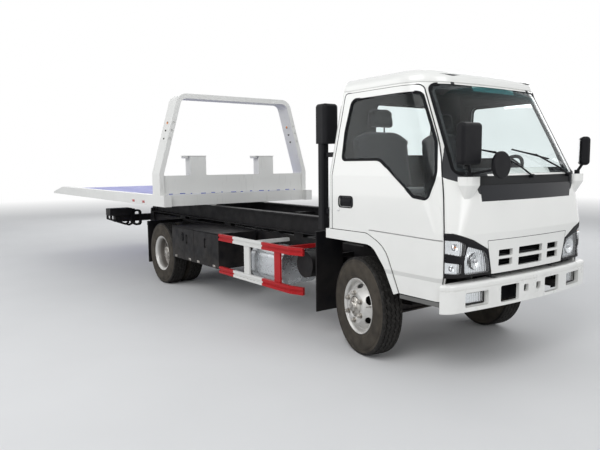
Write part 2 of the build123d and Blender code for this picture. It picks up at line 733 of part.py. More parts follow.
def make_bumper():
    """A thin-walled bumper, open behind, with its lamp and vent holes cut through."""
    outer = upright(bumper_face(0, BUMPER_CORNER), BUMPER_BOTTOM, BUMPER_TOP)
    outer = outer & block((BUMPER_REAR, BUMPER_FRONT + 10), (-2000, 2000), (0, 2000))
    top_edges = outer.edges().filter_by_position(Axis.Z, BUMPER_TOP - 1, BUMPER_TOP + 1)
    front_edges = top_edges.filter_by(lambda edge: edge.center().X > BUMPER_REAR + 5)
    outer = fillet(front_edges, 22)
    inner = upright(bumper_face(BUMPER_WALL, BUMPER_CORNER), BUMPER_BOTTOM - 5, BUMPER_TOP - BUMPER_WALL)
    solid = outer - inner
    low_y, high_y, low_z, high_z = FOG_LAMP
    holes = along(flat_rect(low_y, high_y, low_z, high_z, HOLE_CORNER), 850, 1100)
    for low_y, high_y, low_z, high_z in BUMPER_HOLES:
        holes += along(flat_rect(low_y, high_y, low_z, high_z, HOLE_CORNER), 850, 1100)
    solid -= both_sides(holes)
    # Notches for the cab's arms, and the shallow line along the face
    flange_front = BUMPER_FRONT - BUMPER_WALL - (CAB_ARM_Y + 28) ** 2 / (2 * BUMPER_ARC)
    notch = block((BUMPER_REAR - 5, flange_front), (CAB_ARM_Y - 28, CAB_ARM_Y + 28),
                  (BUMPER_TOP - 60, BUMPER_TOP + 5))
    solid -= both_sides(notch)
    groove = upright(bumper_face(-5, BUMPER_CORNER), 676, 683)
    solid -= groove - upright(bumper_face(4, BUMPER_CORNER), 670, 690)
    keep("bumper", solid)


def make_road_lamps():
    """Fog lamps in the bumper, and tail lamps on the hangers of the rear flaps."""
    low_y, high_y, low_z, high_z = FOG_LAMP
    lens = flat_rect(low_y + SKIN_GAP, high_y - SKIN_GAP, low_z + SKIN_GAP, high_z - SKIN_GAP, HOLE_CORNER)
    shell = upright(bumper_face(8, BUMPER_CORNER), 500, 700)
    shell -= upright(bumper_face(40, BUMPER_CORNER), 490, 710)
    lamps = along(lens, 880, 1100) & shell
    tail = block((TAIL_LAMP_X - 45, TAIL_LAMP_X), (TAIL_LAMP_Y[0], TAIL_LAMP_Y[1]), TAIL_LAMP_Z)
    lamps += tail
    keep("road_lamps", both_sides(lamps))


def make_mud_panels():
    """Panels behind the front wheels and flaps behind the rear ones, with their hangers."""
    front = block((FRONT_PANEL_X, FRONT_PANEL_X + 12), (560, 858), (250, 960))
    front += block((FRONT_PANEL_X - 28, FRONT_PANEL_X), (RAIL_OUTER_Y, 800), (700, 740))
    rear = block((FLAP_X, FLAP_X + 10), FLAP_Y, (222, FLAP_HANGER_Z[0] + 10))
    rear += block((FLAP_X - 14, FLAP_X + 24), (RAIL_OUTER_Y, FLAP_Y[1]), FLAP_HANGER_Z)
    keep("mud_panels", both_sides(front + rear))


# Boxes, tank and guards
def make_tool_boxes():
    """A box each side, open outward, split by a wall into two bays."""
    x_mid = (TOOL_BOX_FRONT + TOOL_BOX_REAR) / 2
    outer_y = TOOL_BOX_OUTER_Y - TOOL_DOOR_THICKNESS - SKIN_GAP
    box = block((TOOL_BOX_REAR, TOOL_BOX_FRONT), (TOOL_BOX_INNER_Y, outer_y), (TOOL_BOX_BOTTOM, TOOL_BOX_TOP))
    for low, high in bays():
        box -= block((low, high), (TOOL_BOX_INNER_Y + BOX_WALL, outer_y + 1),
                     (TOOL_BOX_BOTTOM + BOX_WALL, TOOL_BOX_TOP - BOX_WALL))
    # A lip over the doors, and brackets to the rail
    lip_low = TOOL_BOX_TOP - 8
    box += block((TOOL_BOX_REAR, TOOL_BOX_FRONT), (outer_y - 5, TOOL_BOX_OUTER_Y), (lip_low, TOOL_BOX_TOP))
    for x in (TOOL_BOX_REAR + 200, TOOL_BOX_FRONT - 260):
        box += block((x, x + 60), (RAIL_OUTER_Y, TOOL_BOX_INNER_Y), (RAIL_BOTTOM + 20, RAIL_TOP - 30))
    keep_pair("tool_box", box)
    for part_name, low, high in (("rear", TOOL_BOX_REAR, x_mid), ("front", x_mid, TOOL_BOX_FRONT)):
        edge = TOOL_DOOR_GAP / 2
        face = flat_rect(low + edge, high - edge, TOOL_BOX_BOTTOM + 2, lip_low - TOOL_DOOR_GAP, 4)
        door = across(face, TOOL_BOX_OUTER_Y - TOOL_DOOR_THICKNESS, TOOL_BOX_OUTER_Y)
        latch_x = high - 190 if part_name == "rear" else low + 290
        recess = flat_rect(latch_x - 28, latch_x + 28, TOOL_BOX_TOP - 190, TOOL_BOX_TOP - 80, 10)
        door -= across(recess, TOOL_BOX_OUTER_Y - 12, TOOL_BOX_OUTER_Y + 5)
        door += across(flat_rect(latch_x - 14, latch_x + 14, TOOL_BOX_TOP - 170, TOOL_BOX_TOP - 105, 5),
                       TOOL_BOX_OUTER_Y - 14, TOOL_BOX_OUTER_Y - 4)
        keep_pair("tool_door_" + part_name, door)


def bays():
    """The two inner spaces of a tool box, as limits along X."""
    x_mid = (TOOL_BOX_FRONT + TOOL_BOX_REAR) / 2
    rear_bay = (TOOL_BOX_REAR + BOX_WALL, x_mid - BOX_WALL / 2)
    front_bay = (x_mid + BOX_WALL / 2, TOOL_BOX_FRONT - BOX_WALL)
    return (rear_bay, front_bay)


def make_fuel_tank():
    """Rounded tank behind the right guard, on two brackets, with its filler neck."""
    tank = along(flat_rect(-868, -452, 405, 715, 75), -1625, -1070)
    tank += bar((-1250, -760, 700), (-1250, -800, 742), 30)
    for x in (-1540, -1180):
        tank += block((x, x + 50), (-460, -RAIL_OUTER_Y), (520, 700))
        tank += along(flat_rect(-872, -448, 401, 719, 79) - flat_rect(-860, -460, 413, 707, 67), x, x + 50)
    keep("fuel_tank", tank)


def make_left_boxes():
    """Battery box and air tanks behind the left guard, and the air cleaner on the right."""
    battery = block((-1600, -1080), (452, 868), (420, 700))
    battery += block((-1610, -1070), (446, 874), (660, 715))
    battery += block((-1500, -1180), (RAIL_OUTER_Y, 460), (520, 680))
    tanks = None
    for y in (560, 790):
        tank = bar((-2110, y, 570), (-1690, y, 570), 100)
        tank += block((-1930, -1870), (y - 20, y + 20), (640, 700))
        tanks = tank if tanks is None else tanks + tank
    tanks += block((-1930, -1870), (RAIL_OUTER_Y, 850), (690, 715))
    cleaner = bar((-760, -830, 640), (-760, -470, 640), 120)
    cleaner += block((-800, -720), (-480, -RAIL_OUTER_Y), (620, 700))
    keep("side_fittings", battery + tanks + cleaner)


def guard_strip(out_low, out_high, z_low, z_high):
    """A strip of guard rail between two depths behind its outer face; straight, then bent in."""
    end_x, end_y = GUARD_END
    bend = atan2(GUARD_Y - end_y, end_x - GUARD_STRAIGHT_END)

    def line(depth):
        shift = depth * (1 - cos(bend)) / sin(bend)
        return [(TOOL_BOX_FRONT, GUARD_Y - depth), (GUARD_STRAIGHT_END - shift, GUARD_Y - depth),
                (end_x - depth * sin(bend), end_y - depth * cos(bend))]

    return upright(outline(line(out_low) + line(out_high)[::-1]), z_low, z_high)


def make_side_guards():
    """Two ribbed rails each side, their uprights, and the arms that carry them."""
    rib = GUARD_HEIGHT * 0.36
    guard = None
    for z in GUARD_LEVELS:
        rail = guard_strip(GUARD_RIB, GUARD_THICKNESS, z, z + GUARD_HEIGHT)
        rail += guard_strip(0, GUARD_RIB + 1, z, z + rib)
        rail += guard_strip(0, GUARD_RIB + 1, z + GUARD_HEIGHT - rib, z + GUARD_HEIGHT)
        guard = rail if guard is None else guard + rail
    inner_y = GUARD_Y - GUARD_THICKNESS
    z_low = GUARD_LEVELS[0] + GUARD_HEIGHT
    z_high = GUARD_LEVELS[1]
    for x in GUARD_ARMS:
        guard += block((x - 50, x + 50), (inner_y, inner_y + 18), (z_low, z_high))
        guard += block((x - 20, x + 20), (RAIL_OUTER_Y, inner_y), (z_high + 8, z_high + 44))
    keep_pair("side_guard", guard)


# Sub-frame and cylinders
def make_sub_frame():
    """Two H-section rails with low cross members, the rod lugs and the tilt hinge's shaft."""
    y_low = SILL_Y - SUB_FLANGE_WIDTH / 2
    y_high = SILL_Y + SUB_FLANGE_WIDTH / 2
    section = flat_rect(y_low, y_high, SUB_BOTTOM, SUB_BOTTOM + SUB_FLANGE)
    section += flat_rect(y_low, y_high, SUB_TOP - SUB_FLANGE, SUB_TOP)
    section += flat_rect(SILL_Y - SUB_WEB / 2, SILL_Y + SUB_WEB / 2, SUB_BOTTOM, SUB_TOP)
    frame = both_sides(along(section, SUB_REAR, SUB_FRONT))
    for x in SUB_CROSS:
        frame += block((x - SUB_CROSS_LENGTH / 2, x + SUB_CROSS_LENGTH / 2), (-y_low - 20, y_low + 20),
                       (SUB_BOTTOM, SUB_BOTTOM + SUB_CROSS_HEIGHT))
    frame += block((SUB_FRONT - 14, SUB_FRONT), (-y_high, y_high), (SUB_BOTTOM, SUB_TOP - 40))
    # Hinge arms and shaft
    arm = outline([(SUB_REAR + 30, SUB_BOTTOM), (SUB_REAR + 30, SUB_TOP - SUB_FLANGE - 20),
                   (SUB_REAR - 40, SUB_TOP - 60),
                   (TILT_HINGE_X - 46, TILT_HINGE_Z + 40), (TILT_HINGE_X - 46, TILT_HINGE_Z - 30),
                   (TILT_HINGE_X - 20, TILT_HINGE_Z - 46)], [0, 10, 20, 30, 26, 20])
    frame += both_sides(across(arm, SILL_Y - TILT_ARM_WIDTH / 2, SILL_Y + TILT_ARM_WIDTH / 2))
    shaft_end = RAIL_OUTER_Y + TILT_EAR_WIDTH + 12
    frame += across(Pos(TILT_HINGE_X, TILT_HINGE_Z) * Circle(TILT_SHAFT_RADIUS), -shaft_end, shaft_end)
    # Lugs each side of the tilt rods' eyes, hung from a shelf on the web
    shelf_z = ROD_EYE_Z + 58
    lug = outline([(ROD_EYE_X - 45, shelf_z + 10), (ROD_EYE_X + 45, shelf_z + 10),
                   (ROD_EYE_X + 30, ROD_EYE_Z - 35), (ROD_EYE_X - 30, ROD_EYE_Z - 35)], 10)
    lugs = block((ROD_EYE_X - 50, ROD_EYE_X + 50), (CYLINDER_Y - 60, SILL_Y), (shelf_z, shelf_z + 14))
    for y in (CYLINDER_Y - 58, CYLINDER_Y + 42):
        lugs += across(lug, y, y + 16)
    frame += both_sides(lugs)
    keep("sub_frame", frame)


def tilt_line():
    """Direction and length of a tilt cylinder from its pin to its eye at rest."""
    way = Vector(ROD_EYE_X - BARREL_PIN_X, 0, ROD_EYE_Z - BARREL_PIN_Z)
    return way.normalized(), way.length


def make_cylinders():
    """Tilt cylinders under the sub-frame, and the long cylinder that slides the bed."""
    way, length = tilt_line()
    pin = Vector(BARREL_PIN_X, CYLINDER_Y, BARREL_PIN_Z)
    barrel_length = length - 170
    start = pin + way * 42
    mouth = pin + way * barrel_length
    barrel = bar(start, mouth, BARREL_RADIUS)
    barrel += across(Pos(BARREL_PIN_X, BARREL_PIN_Z) * Circle(52), CYLINDER_Y - 30, CYLINDER_Y + 30)
    bore_start = pin + way * 90
    barrel -= bar(bore_start, mouth - way * 40, BARREL_BORE)
    barrel -= bar(mouth - way * 60, mouth + way * 10, TILT_ROD_RADIUS + SKIN_GAP)
    barrel -= across(Pos(BARREL_PIN_X, BARREL_PIN_Z) * Circle(BARREL_PIN_RADIUS + RUN_FIT),
                     CYLINDER_Y - 40, CYLINDER_Y + 40)
    keep("tilt_barrels", both_sides(barrel))
    eye = pin + way * length
    rod = bar(pin + way * 220, eye - way * 30, TILT_ROD_RADIUS)
    rod += bar(pin + way * 220, pin + way * 260, BARREL_BORE - SKIN_GAP)
    rod += across(Pos(ROD_EYE_X, ROD_EYE_Z) * Circle(44), CYLINDER_Y - 28, CYLINDER_Y + 28)
    rod += across(Pos(ROD_EYE_X, ROD_EYE_Z) * Circle(22), CYLINDER_Y - 36, CYLINDER_Y + 36)
    keep("tilt_rods", both_sides(rod))

    barrel = bar((SLIDE_BARREL_REAR, 0, SLIDE_Z), (SLIDE_BARREL_FRONT, 0, SLIDE_Z), SLIDE_BARREL_RADIUS)
    rear, front = SLIDE_BARREL_REAR, SLIDE_BARREL_FRONT
    barrel -= bar((rear + 50, 0, SLIDE_Z), (front - 30, 0, SLIDE_Z), SLIDE_BARREL_BORE)
    barrel -= bar((rear - 5, 0, SLIDE_Z), (rear + 60, 0, SLIDE_Z), SLIDE_ROD_RADIUS + SKIN_GAP)
    for x in SUB_CROSS:
        if SLIDE_BARREL_REAR < x < SLIDE_BARREL_FRONT:
            barrel += block((x - 25, x + 25), (-58, 58), (SUB_BOTTOM + SUB_CROSS_HEIGHT, SLIDE_Z - 34))
    front_x = SUB_FRONT - 14
    barrel += bar((SLIDE_BARREL_FRONT, 0, SLIDE_Z), (front_x, 0, SLIDE_Z), 28)
    keep("slide_barrel", barrel)
    rod_front = SLIDE_BARREL_REAR + BED_SLIDE_BACK + SLIDE_ROD_OVERLAP
    rod_rear = bed_beam_x(SLIDE_BEAM) + BED_BEAM_LENGTH / 2
    rod = bar((rod_rear, 0, SLIDE_Z), (rod_front, 0, SLIDE_Z), SLIDE_ROD_RADIUS)
    rod += bar((rod_front - 40, 0, SLIDE_Z), (rod_front, 0, SLIDE_Z), SLIDE_BARREL_BORE - SKIN_GAP)
    keep("slide_rod", rod)


# Bed
def bed_side_face(top, bottom, front, tip_top):
    """Side view of the bed between two heights, falling to a thin tail."""
    slope = MODEL_REAR + BED_TAIL_LENGTH
    return outline([(front, bottom), (front, top), (slope, top), (MODEL_REAR, tip_top), (MODEL_REAR, bottom)])


def bed_beam_x(index):
    """Place of a cross beam, counted from the headboard."""
    first = BED_FRONT - FRONT_BEAM_SETBACK - 480
    last = MODEL_REAR + BED_TAIL_LENGTH + 40
    return first + (last - first) * index / (BED_BEAM_COUNT - 1)


def make_bed_frame():
    """Hollow side rails, front beam, long sills on the sub-frame, cross beams and tail plate."""
    inner_y = BED_HALF_WIDTH - BED_RAIL_WIDTH
    rail = across(bed_side_face(BED_TOP, BED_BOTTOM, BED_FRONT, BED_TIP_TOP), inner_y, BED_HALF_WIDTH)
    slope = MODEL_REAR + BED_TAIL_LENGTH
    rail -= block((slope + 20, BED_FRONT - 90), (inner_y - 1, BED_HALF_WIDTH - BED_RAIL_WALL),
                  (BED_BOTTOM + BED_RAIL_WALL, DECK_TOP - DECK_THICKNESS - 10))
    frame = both_sides(rail)
    beam_x = BED_FRONT - FRONT_BEAM_SETBACK
    frame += block((beam_x - 60, beam_x), (-inner_y, inner_y), (BED_BOTTOM, BED_TOP)) \
        - block((beam_x - 61, beam_x - 8), (-inner_y + 9, inner_y - 9), (BED_BOTTOM + 8, BED_TOP - 40))
    sill_low = SUB_TOP + SKIN_GAP
    under_deck = DECK_TOP - DECK_THICKNESS
    sill = flat_rect(SILL_Y - 35, SILL_Y + 35, sill_low, under_deck)
    sill -= flat_rect(SILL_Y - 27, SILL_Y + 40, sill_low + 8, under_deck - 8)
    frame += both_sides(along(sill, slope + 200, beam_x - 5))
    half_beam = BED_BEAM_LENGTH / 2
    for index in range(BED_BEAM_COUNT):
        x = bed_beam_x(index)
        beam = block((x - half_beam, x + half_beam), (-inner_y - 5, inner_y + 5),
                     (under_deck - 62, under_deck))
        beam -= block((x - half_beam - 1, x + half_beam - 8), (-inner_y - 6, inner_y + 6),
                      (under_deck - 54, under_deck - 8))
        frame += beam
    tail = across(bed_side_face(under_deck, BED_BOTTOM + 10, slope + 60, BED_TIP_TOP - 14), -inner_y, inner_y)
    hollow = bed_side_face(under_deck - 10, BED_BOTTOM, slope + 100, BED_BOTTOM + 5)
    tail -= across(hollow, -inner_y + 20, inner_y - 20)
    frame += tail
    # Bracket that the slide rod pulls
    x = bed_beam_x(SLIDE_BEAM)
    frame += block((x - half_beam, x + half_beam), (-60, 60), (SLIDE_Z - 32, under_deck))
    keep("bed_frame", frame)


def make_bed_deck():
    """Deck plate between the side rails, bent down at the tail, a little lower under the winch."""
    slope = MODEL_REAR + BED_TAIL_LENGTH
    inner_y = BED_HALF_WIDTH - BED_RAIL_WIDTH - SKIN_GAP
    front = BED_FRONT - FRONT_BEAM_SETBACK - 60
    tip_z = BED_TIP_TOP - 12
    step_x = WINCH_X - 160
    face = outline([
        (front, DECK_TOP - DECK_STEP), (step_x, DECK_TOP - DECK_STEP), (step_x, DECK_TOP),
        (slope, DECK_TOP), (MODEL_REAR, tip_z + DECK_THICKNESS + 2),
        (MODEL_REAR, tip_z), (slope, DECK_TOP - DECK_THICKNESS), (front, DECK_TOP - DECK_THICKNESS),
    ])
    keep("bed_deck", across(face, -inner_y, inner_y))


def loop_outline(inset):
    """The headboard loop in front view, shrunk by inset."""
    lean = atan2(LOOP_HALF_WIDTH - LOOP_TOP_HALF_WIDTH, LOOP_TOP - LOOP_KINK_Z)
    side = LOOP_HALF_WIDTH - inset
    kink_z = LOOP_KINK_Z - inset * (1 - cos(lean)) / sin(lean)
    top = LOOP_TOP - inset
    shift = inset / cos(lean)
    top_y = LOOP_HALF_WIDTH - shift - (top - LOOP_KINK_Z) * sin(lean) / cos(lean)
    corner = LOOP_CORNER - inset
    bottom = DECK_TOP
    points = [(side, bottom), (side, kink_z), (top_y, top), (-top_y, top), (-side, kink_z), (-side, bottom)]
    return outline(points, [0, 60, corner, corner, 60, 0])


def make_headboard():
    """Bent loop of deep flat bar with three lamp recesses in each leg."""
    ring = loop_outline(0) - loop_outline(LOOP_THICKNESS)
    ring -= flat_rect(-2000, 2000, 0, BED_TOP)
    loop = along(ring, LOOP_FRONT - LOOP_DEPTH, LOOP_FRONT)
    lean = (LOOP_HALF_WIDTH - LOOP_TOP_HALF_WIDTH) / (LOOP_TOP - LOOP_KINK_Z)
    holes = None
    for z in (1870, 1970, 2070):
        y = LOOP_HALF_WIDTH - LOOP_THICKNESS / 2 - (z - LOOP_KINK_Z) * lean - 3
        hole = bar((LOOP_FRONT - 14, y, z), (LOOP_FRONT + 10, y, z), 17)
        holes = hole if holes is None else holes + hole
    keep("headboard_loop", loop - both_sides(holes))


def make_headboard_panel():
    """Plate across the loop with two hollow posts and their capped tops."""
    plate_y = LOOP_HALF_WIDTH - LOOP_THICKNESS - SKIN_GAP
    plate_x = LOOP_FRONT - 30
    panel = block((plate_x - PLATE_THICKNESS, plate_x), (-plate_y, plate_y), (BED_TOP + SKIN_GAP, PLATE_TOP))
    for y_low, y_high in POST_SPANS:
        post = block((plate_x - POST_DEPTH, plate_x + 2), (y_low, y_high), (PLATE_TOP - 60, POST_TOP))
        rear = plate_x - POST_DEPTH
        post -= block((rear - 1, plate_x - 8), (y_low + 8, y_high - 8), (PLATE_TOP - 61, POST_TOP - 8))
        cap = block((rear - 4, plate_x + 8), (y_low - 62, y_high + 4), (POST_TOP, POST_TOP + 8))
        roller = bar((rear + 10, y_low - 48, POST_TOP - 12), (plate_x, y_low - 48, POST_TOP - 12), 14)
        panel += post + cap + roller
    keep("headboard_panel", panel)


def make_winch():
    """Side plates, motor and bare drum of the winch behind the headboard."""
    half = DRUM_LENGTH / 2
    deck = DECK_TOP - DECK_STEP
    frame = None
    for y_low, y_high in ((-half - 30, -half - 8), (half + 8, half + 30)):
        plate = across(outline([(WINCH_X - 130, deck), (WINCH_X + 130, deck), (WINCH_X + 105, WINCH_Z + 70),
                                (WINCH_X - 105, WINCH_Z + 70)], 20), y_low, y_high)
        frame = plate if frame is None else frame + plate
    frame += block((WINCH_X - 130, WINCH_X - 100), (-half - 30, half + 30), (deck, deck + 20))
    frame += block((WINCH_X + 100, WINCH_X + 130), (-half - 30, half + 30), (deck, deck + 20))
    frame -= across(Pos(WINCH_X, WINCH_Z) * Circle(WINCH_SHAFT_RADIUS + RUN_FIT), -half - 32, half + 32)
    frame += bar((WINCH_X, half + 30, WINCH_Z), (WINCH_X, half + 210, WINCH_Z), 62)
    keep("winch_frame", frame)
    drum = Pos(WINCH_X, 0, WINCH_Z) * turned([
        (-half - 28, 0), (half + 28, 0), (half + 28, WINCH_SHAFT_RADIUS), (half, WINCH_SHAFT_RADIUS),
        (half, DRUM_FLANGE_RADIUS), (half - 10, DRUM_FLANGE_RADIUS), (half - 10, DRUM_RADIUS),
        (-half + 10, DRUM_RADIUS), (-half + 10, DRUM_FLANGE_RADIUS), (-half, DRUM_FLANGE_RADIUS),
        (-half, WINCH_SHAFT_RADIUS), (-half - 28, WINCH_SHAFT_RADIUS),
    ])
    keep("winch_drum", drum)


# Wheel lift
def make_wheel_lift():
    """Boom on its pivot, and the sliding tube with its crossbar and wheel cradles."""
    half = BOOM_SIZE / 2
    boom = block((BOOM_REAR, LIFT_PIVOT_X - 70), (-half, half), (LIFT_Z - half, LIFT_Z + half))
    hollow = half - BOOM_WALL
    boom -= block((BOOM_REAR - 1, LIFT_PIVOT_X - 100), (-hollow, hollow), (LIFT_Z - hollow, LIFT_Z + hollow))
    cheek = outline([
        (LIFT_PIVOT_X - 160, LIFT_Z - half), (LIFT_PIVOT_X, LIFT_Z - half + 8),
        (LIFT_PIVOT_X + 45, LIFT_Z),
        (LIFT_PIVOT_X, LIFT_Z + half - 8), (LIFT_PIVOT_X - 160, LIFT_Z + half),
    ], [0, 30, 30, 30, 0])
    boom += both_sides(across(cheek, half - 2, half + 14))
    boom -= across(Pos(LIFT_PIVOT_X, LIFT_Z) * Circle(LIFT_PIVOT_RADIUS + RUN_FIT), -200, 200)
    keep("lift_boom", boom)

    slide = SLIDER_SIZE / 2
    bar_half = CROSSBAR_SIZE / 2
    lift = block((CROSSBAR_X, SLIDER_FRONT), (-slide, slide), (LIFT_Z - slide, LIFT_Z + slide))
    bore = slide - 8
    lift -= block((CROSSBAR_X, SLIDER_FRONT + 1), (-bore, bore), (LIFT_Z - bore, LIFT_Z + bore))
    lift += block((CROSSBAR_X - bar_half, CROSSBAR_X + bar_half),
                  (-CROSSBAR_HALF_LENGTH, CROSSBAR_HALF_LENGTH), (LIFT_Z - bar_half, LIFT_Z + bar_half))
    z_top = LIFT_Z + bar_half + 108
    z_low = LIFT_Z - 118
    x_low, x_high = CROSSBAR_X - 110, CROSSBAR_X + 90
    # Cradle in front view: a deep beam, a V under it, and a loop on its inner side
    cradle = along(flat_rect(700, 1050, LIFT_Z + 50, z_top, 10), x_low, x_high)
    vee = outline([
        (1046, LIFT_Z + 60), (1046, LIFT_Z - 10), (760, z_low), (700, z_low + 26), (700, LIFT_Z + 60),
    ], 10)
    vee -= outline([
        (1020, LIFT_Z + 61), (1020, LIFT_Z + 4), (757, z_low + 28), (726, z_low + 42), (726, LIFT_Z + 61),
    ], 8)
    cradle += along(vee, x_high - 36, x_high)
    cradle += along(vee, x_low, x_low + 36)
    loop = flat_rect(555, 690, z_low, LIFT_Z + 130, 50) - flat_rect(583, 662, z_low + 28, LIFT_Z + 102, 24)
    cradle += along(loop, x_high - 60, x_high)
    cradle += block((x_high - 60, x_high), (660, 705), (z_top - 40, z_top - 12))
    lift += both_sides(cradle)
    keep("lift_crossbar", lift)


# Cab
def cab_body(inset, z_low=CAB_SECTIONS[0][0], z_high=ROOF_LINE):
    """The cab's outer form below the roof, moved inward by inset."""
    sections = []
    for z, rear, half, front, arc, corner in CAB_SECTIONS:
        face = front_arc_face(rear + inset, half - inset, front - inset, arc - inset, corner - inset,
                              REAR_CORNER_RADIUS - min(inset, REAR_CORNER_RADIUS - 3))
        sections.append(Pos(0, 0, z) * face)
    return loft(sections, ruled=True)


def make_cab():
    outer = cab_body(0)
    layer = cab_body(PANEL_DEPTH)
    inner = cab_body(CAB_WALL)
    walls = outer - inner
    door_face = edge_face(DOOR_EDGE)
    window_face = edge_face(WINDOW_EDGE)
    make_cab_shell(outer, walls, door_face)
    make_nose(outer, layer, walls, door_face)
    make_doors(outer, layer, inner, door_face, window_face)
    make_glass(window_face)
    make_roof()
    make_arches()
    make_steps()
    make_interior()


def screen_face(shrink=0):
    """The windscreen opening in front view."""
    face = outline(SCREEN_EDGE, SCREEN_CORNERS)
    return offset(face, -shrink) if shrink else face


def rear_window_face(shrink=0):
    y_low, y_high, z_low, z_high = REAR_WINDOW
    return flat_rect(y_low + shrink, y_high - shrink, z_low + shrink, z_high - shrink, 60)


def make_cab_shell(outer, walls, door_face):
    """Pillars, rear wall, headers and floor, with stepped openings for doors and glass."""
    sill_z = DOOR_EDGE[7][1]
    shell = walls & block((-600, 1200), (-1000, 1000), (sill_z, ROOF_LINE))
    door_layer = outer - cab_body(PANEL_DEPTH + DOOR_CLEARANCE)
    shell -= door_layer & across(offset(door_face, SEAM), -1000, 1000)
    shell -= across(offset(door_face, SEAM - DOOR_FLANGE), -1000, 1000)
    shell -= block((DOOR_FRONT_X - 60, 1200), (-1000, 1000), (0, SCREEN_BASE))
    shell -= block((100, DOOR_FRONT_X), (-1000, 1000), (0, 1200))
    glass_layer = outer - cab_body(GLASS_INSET + GLASS_THICKNESS + SKIN_GAP)
    shell -= glass_layer & along(screen_face(), 300, 1200)
    shell -= along(screen_face(GLASS_LEDGE), 300, 1200)
    shell -= along(rear_window_face(), -500, -200)
    t = CAB_FLOOR_THICKNESS
    floor = outline([
        (-390, CAB_FLOOR_Z), (130, CAB_FLOOR_Z),
        (300, CAB_FRONT_FLOOR_Z), (960, CAB_FRONT_FLOOR_Z),
        (960, CAB_FRONT_FLOOR_Z + t), (312, CAB_FRONT_FLOOR_Z + t),
        (142, CAB_FLOOR_Z + t), (-390, CAB_FLOOR_Z + t),
    ])
    pan = across(floor, -CAB_PAN_HALF_WIDTH, CAB_PAN_HALF_WIDTH) & cab_body(CAB_WALL + DOOR_CLEARANCE)
    pan += block((-390, -340), (-780, 780), (CAB_FLOOR_Z, sill_z + 20))
    shell += pan
    # Arms to the tilt pivots, under the front floor, slim so that they pass behind the bumper
    arm = outline([
        (790, CAB_FRONT_FLOOR_Z + 15), (858, CAB_FRONT_FLOOR_Z + 15), (864, CAB_FRONT_FLOOR_Z - 80),
        (CAB_PIVOT_X - 42, CAB_PIVOT_Z + 55), (CAB_PIVOT_X + 7, CAB_PIVOT_Z + 6),
        (CAB_PIVOT_X + 4, CAB_PIVOT_Z - 14), (CAB_PIVOT_X - 14, CAB_PIVOT_Z - 14),
        (CAB_PIVOT_X - 84, CAB_PIVOT_Z + 70),
    ], [0, 0, 20, 10, 6, 6, 10, 20])
    half = CAB_ARM_WIDTH / 2
    pin_end = half + 2 + PIVOT_EAR_WIDTH + 4
    pin = Pos(CAB_PIVOT_X, CAB_PIVOT_Z) * Circle(CAB_PIVOT_RADIUS)
    arms = across(arm, CAB_ARM_Y - half, CAB_ARM_Y + half)
    arms += across(pin, CAB_ARM_Y - pin_end, CAB_ARM_Y + pin_end)
    shell += both_sides(arms)
    keep("cab_shell", shell)


def make_nose(outer, layer, walls, door_face):
    """Front panel with mirror blocks, and the lamps, grille and strip let into its face."""
    region = block((DOOR_FRONT_X - 59, 1200), (-1000, 1000), (NOSE_BOTTOM, SCREEN_BASE))
    region -= across(offset(door_face, SEAM + 2), -1000, 1000)
    nose = walls & region
    skin = (outer - layer) & region
    lamp_face = outline(HEADLAMP_EDGE, [0, 0, 0, 0, 20, 60, 0])
    lamp_prism = along(lamp_face, 300, 1200)
    lamp_pocket = both_sides(along(offset(lamp_face, SEAM, kind=Kind.INTERSECTION), 300, 1200))
    grille_face = outline(GRILLE_EDGE)
    strip_face = strip_outline(0)
    grille_prism = along(grille_face, 300, 1200)
    grille_pocket = along(offset(grille_face, SEAM, kind=Kind.INTERSECTION), 300, 1200)
    strip_prism = along(strip_face, 300, 1200)
    nose -= skin & lamp_pocket
    nose -= skin & grille_pocket
    nose -= skin & strip_prism
    slots = None
    for y_low, y_high, z_low, z_high in GRILLE_SLOTS:
        slot = along(flat_rect(y_low, y_high, z_low, z_high, 6), 300, 1200)
        slots = slot if slots is None else slots + slot
        if y_low > 0:
            slots += mirrored(slot)
    nose -= along(flat_rect(-400, 400, 785, 935, 10), 300, 1200)
    nose += both_sides(mirror_block())
    keep("cab_front", nose)
    shallow = cab_body(PANEL_DEPTH - SKIN_GAP)
    thin_skin = (outer - shallow) & region
    keep("headlamps", both_sides(thin_skin & lamp_prism))
    keep("grille_panel", (thin_skin & grille_prism) - slots)
    strip = thin_skin & along(strip_outline(SKIN_GAP), 300, 1200)
    # The cowl above the strip lies a little deeper
    cowl_cut = (outer - cab_body(9)) & block((300, 1200), (-700, 700), (STRIP_HIGH[1] + 6, SCREEN_BASE + 1))
    keep("front_strip", strip - cowl_cut)


def strip_outline(inset):
    """The dark band under the windscreen in front view, from its strip up to the cowl."""
    half = [
        (STRIP_LOW[0] - inset, STRIP_LOW[1] + inset),
        (STRIP_HIGH[0] - inset, STRIP_HIGH[1]),
        (STRIP_TOP_Y - inset, SCREEN_BASE + 1 - inset),
    ]
    return outline(half + [(-y, z) for y, z in reversed(half)])


def mirror_block():
    """The bucket-shaped boss that carries a mirror arm, wide on top and tapering down."""
    wide = flat_rect(800, 962, 598, 730, 34)
    top = Pos(0, 0, SCREEN_BASE - MIRROR_BLOCK_DROP) * wide
    waist = Pos(0, 0, SCREEN_BASE - 60) * wide
    foot = Pos(0, 0, SCREEN_BASE - 150) * flat_rect(800, 915, 618, 708, 30)
    solid = loft([top, waist], ruled=True) + loft([waist, foot], ruled=True)
    return solid - cab_body(6)


def make_doors(outer, layer, inner, door_face, window_face):
    """Hollow-windowed doors with a smaller inner part and a handle recess."""
    door = (outer - layer) & across(door_face, 0, 1000)
    door += (layer - inner) & across(offset(door_face, -DOOR_FLANGE), 0, 1000)
    door -= across(window_face, 0, 1000)
    handle = flat_rect(-238, -72, 1195, 1278, 22)
    door -= across(handle, 848, 1000)
    keep_pair("door", door)


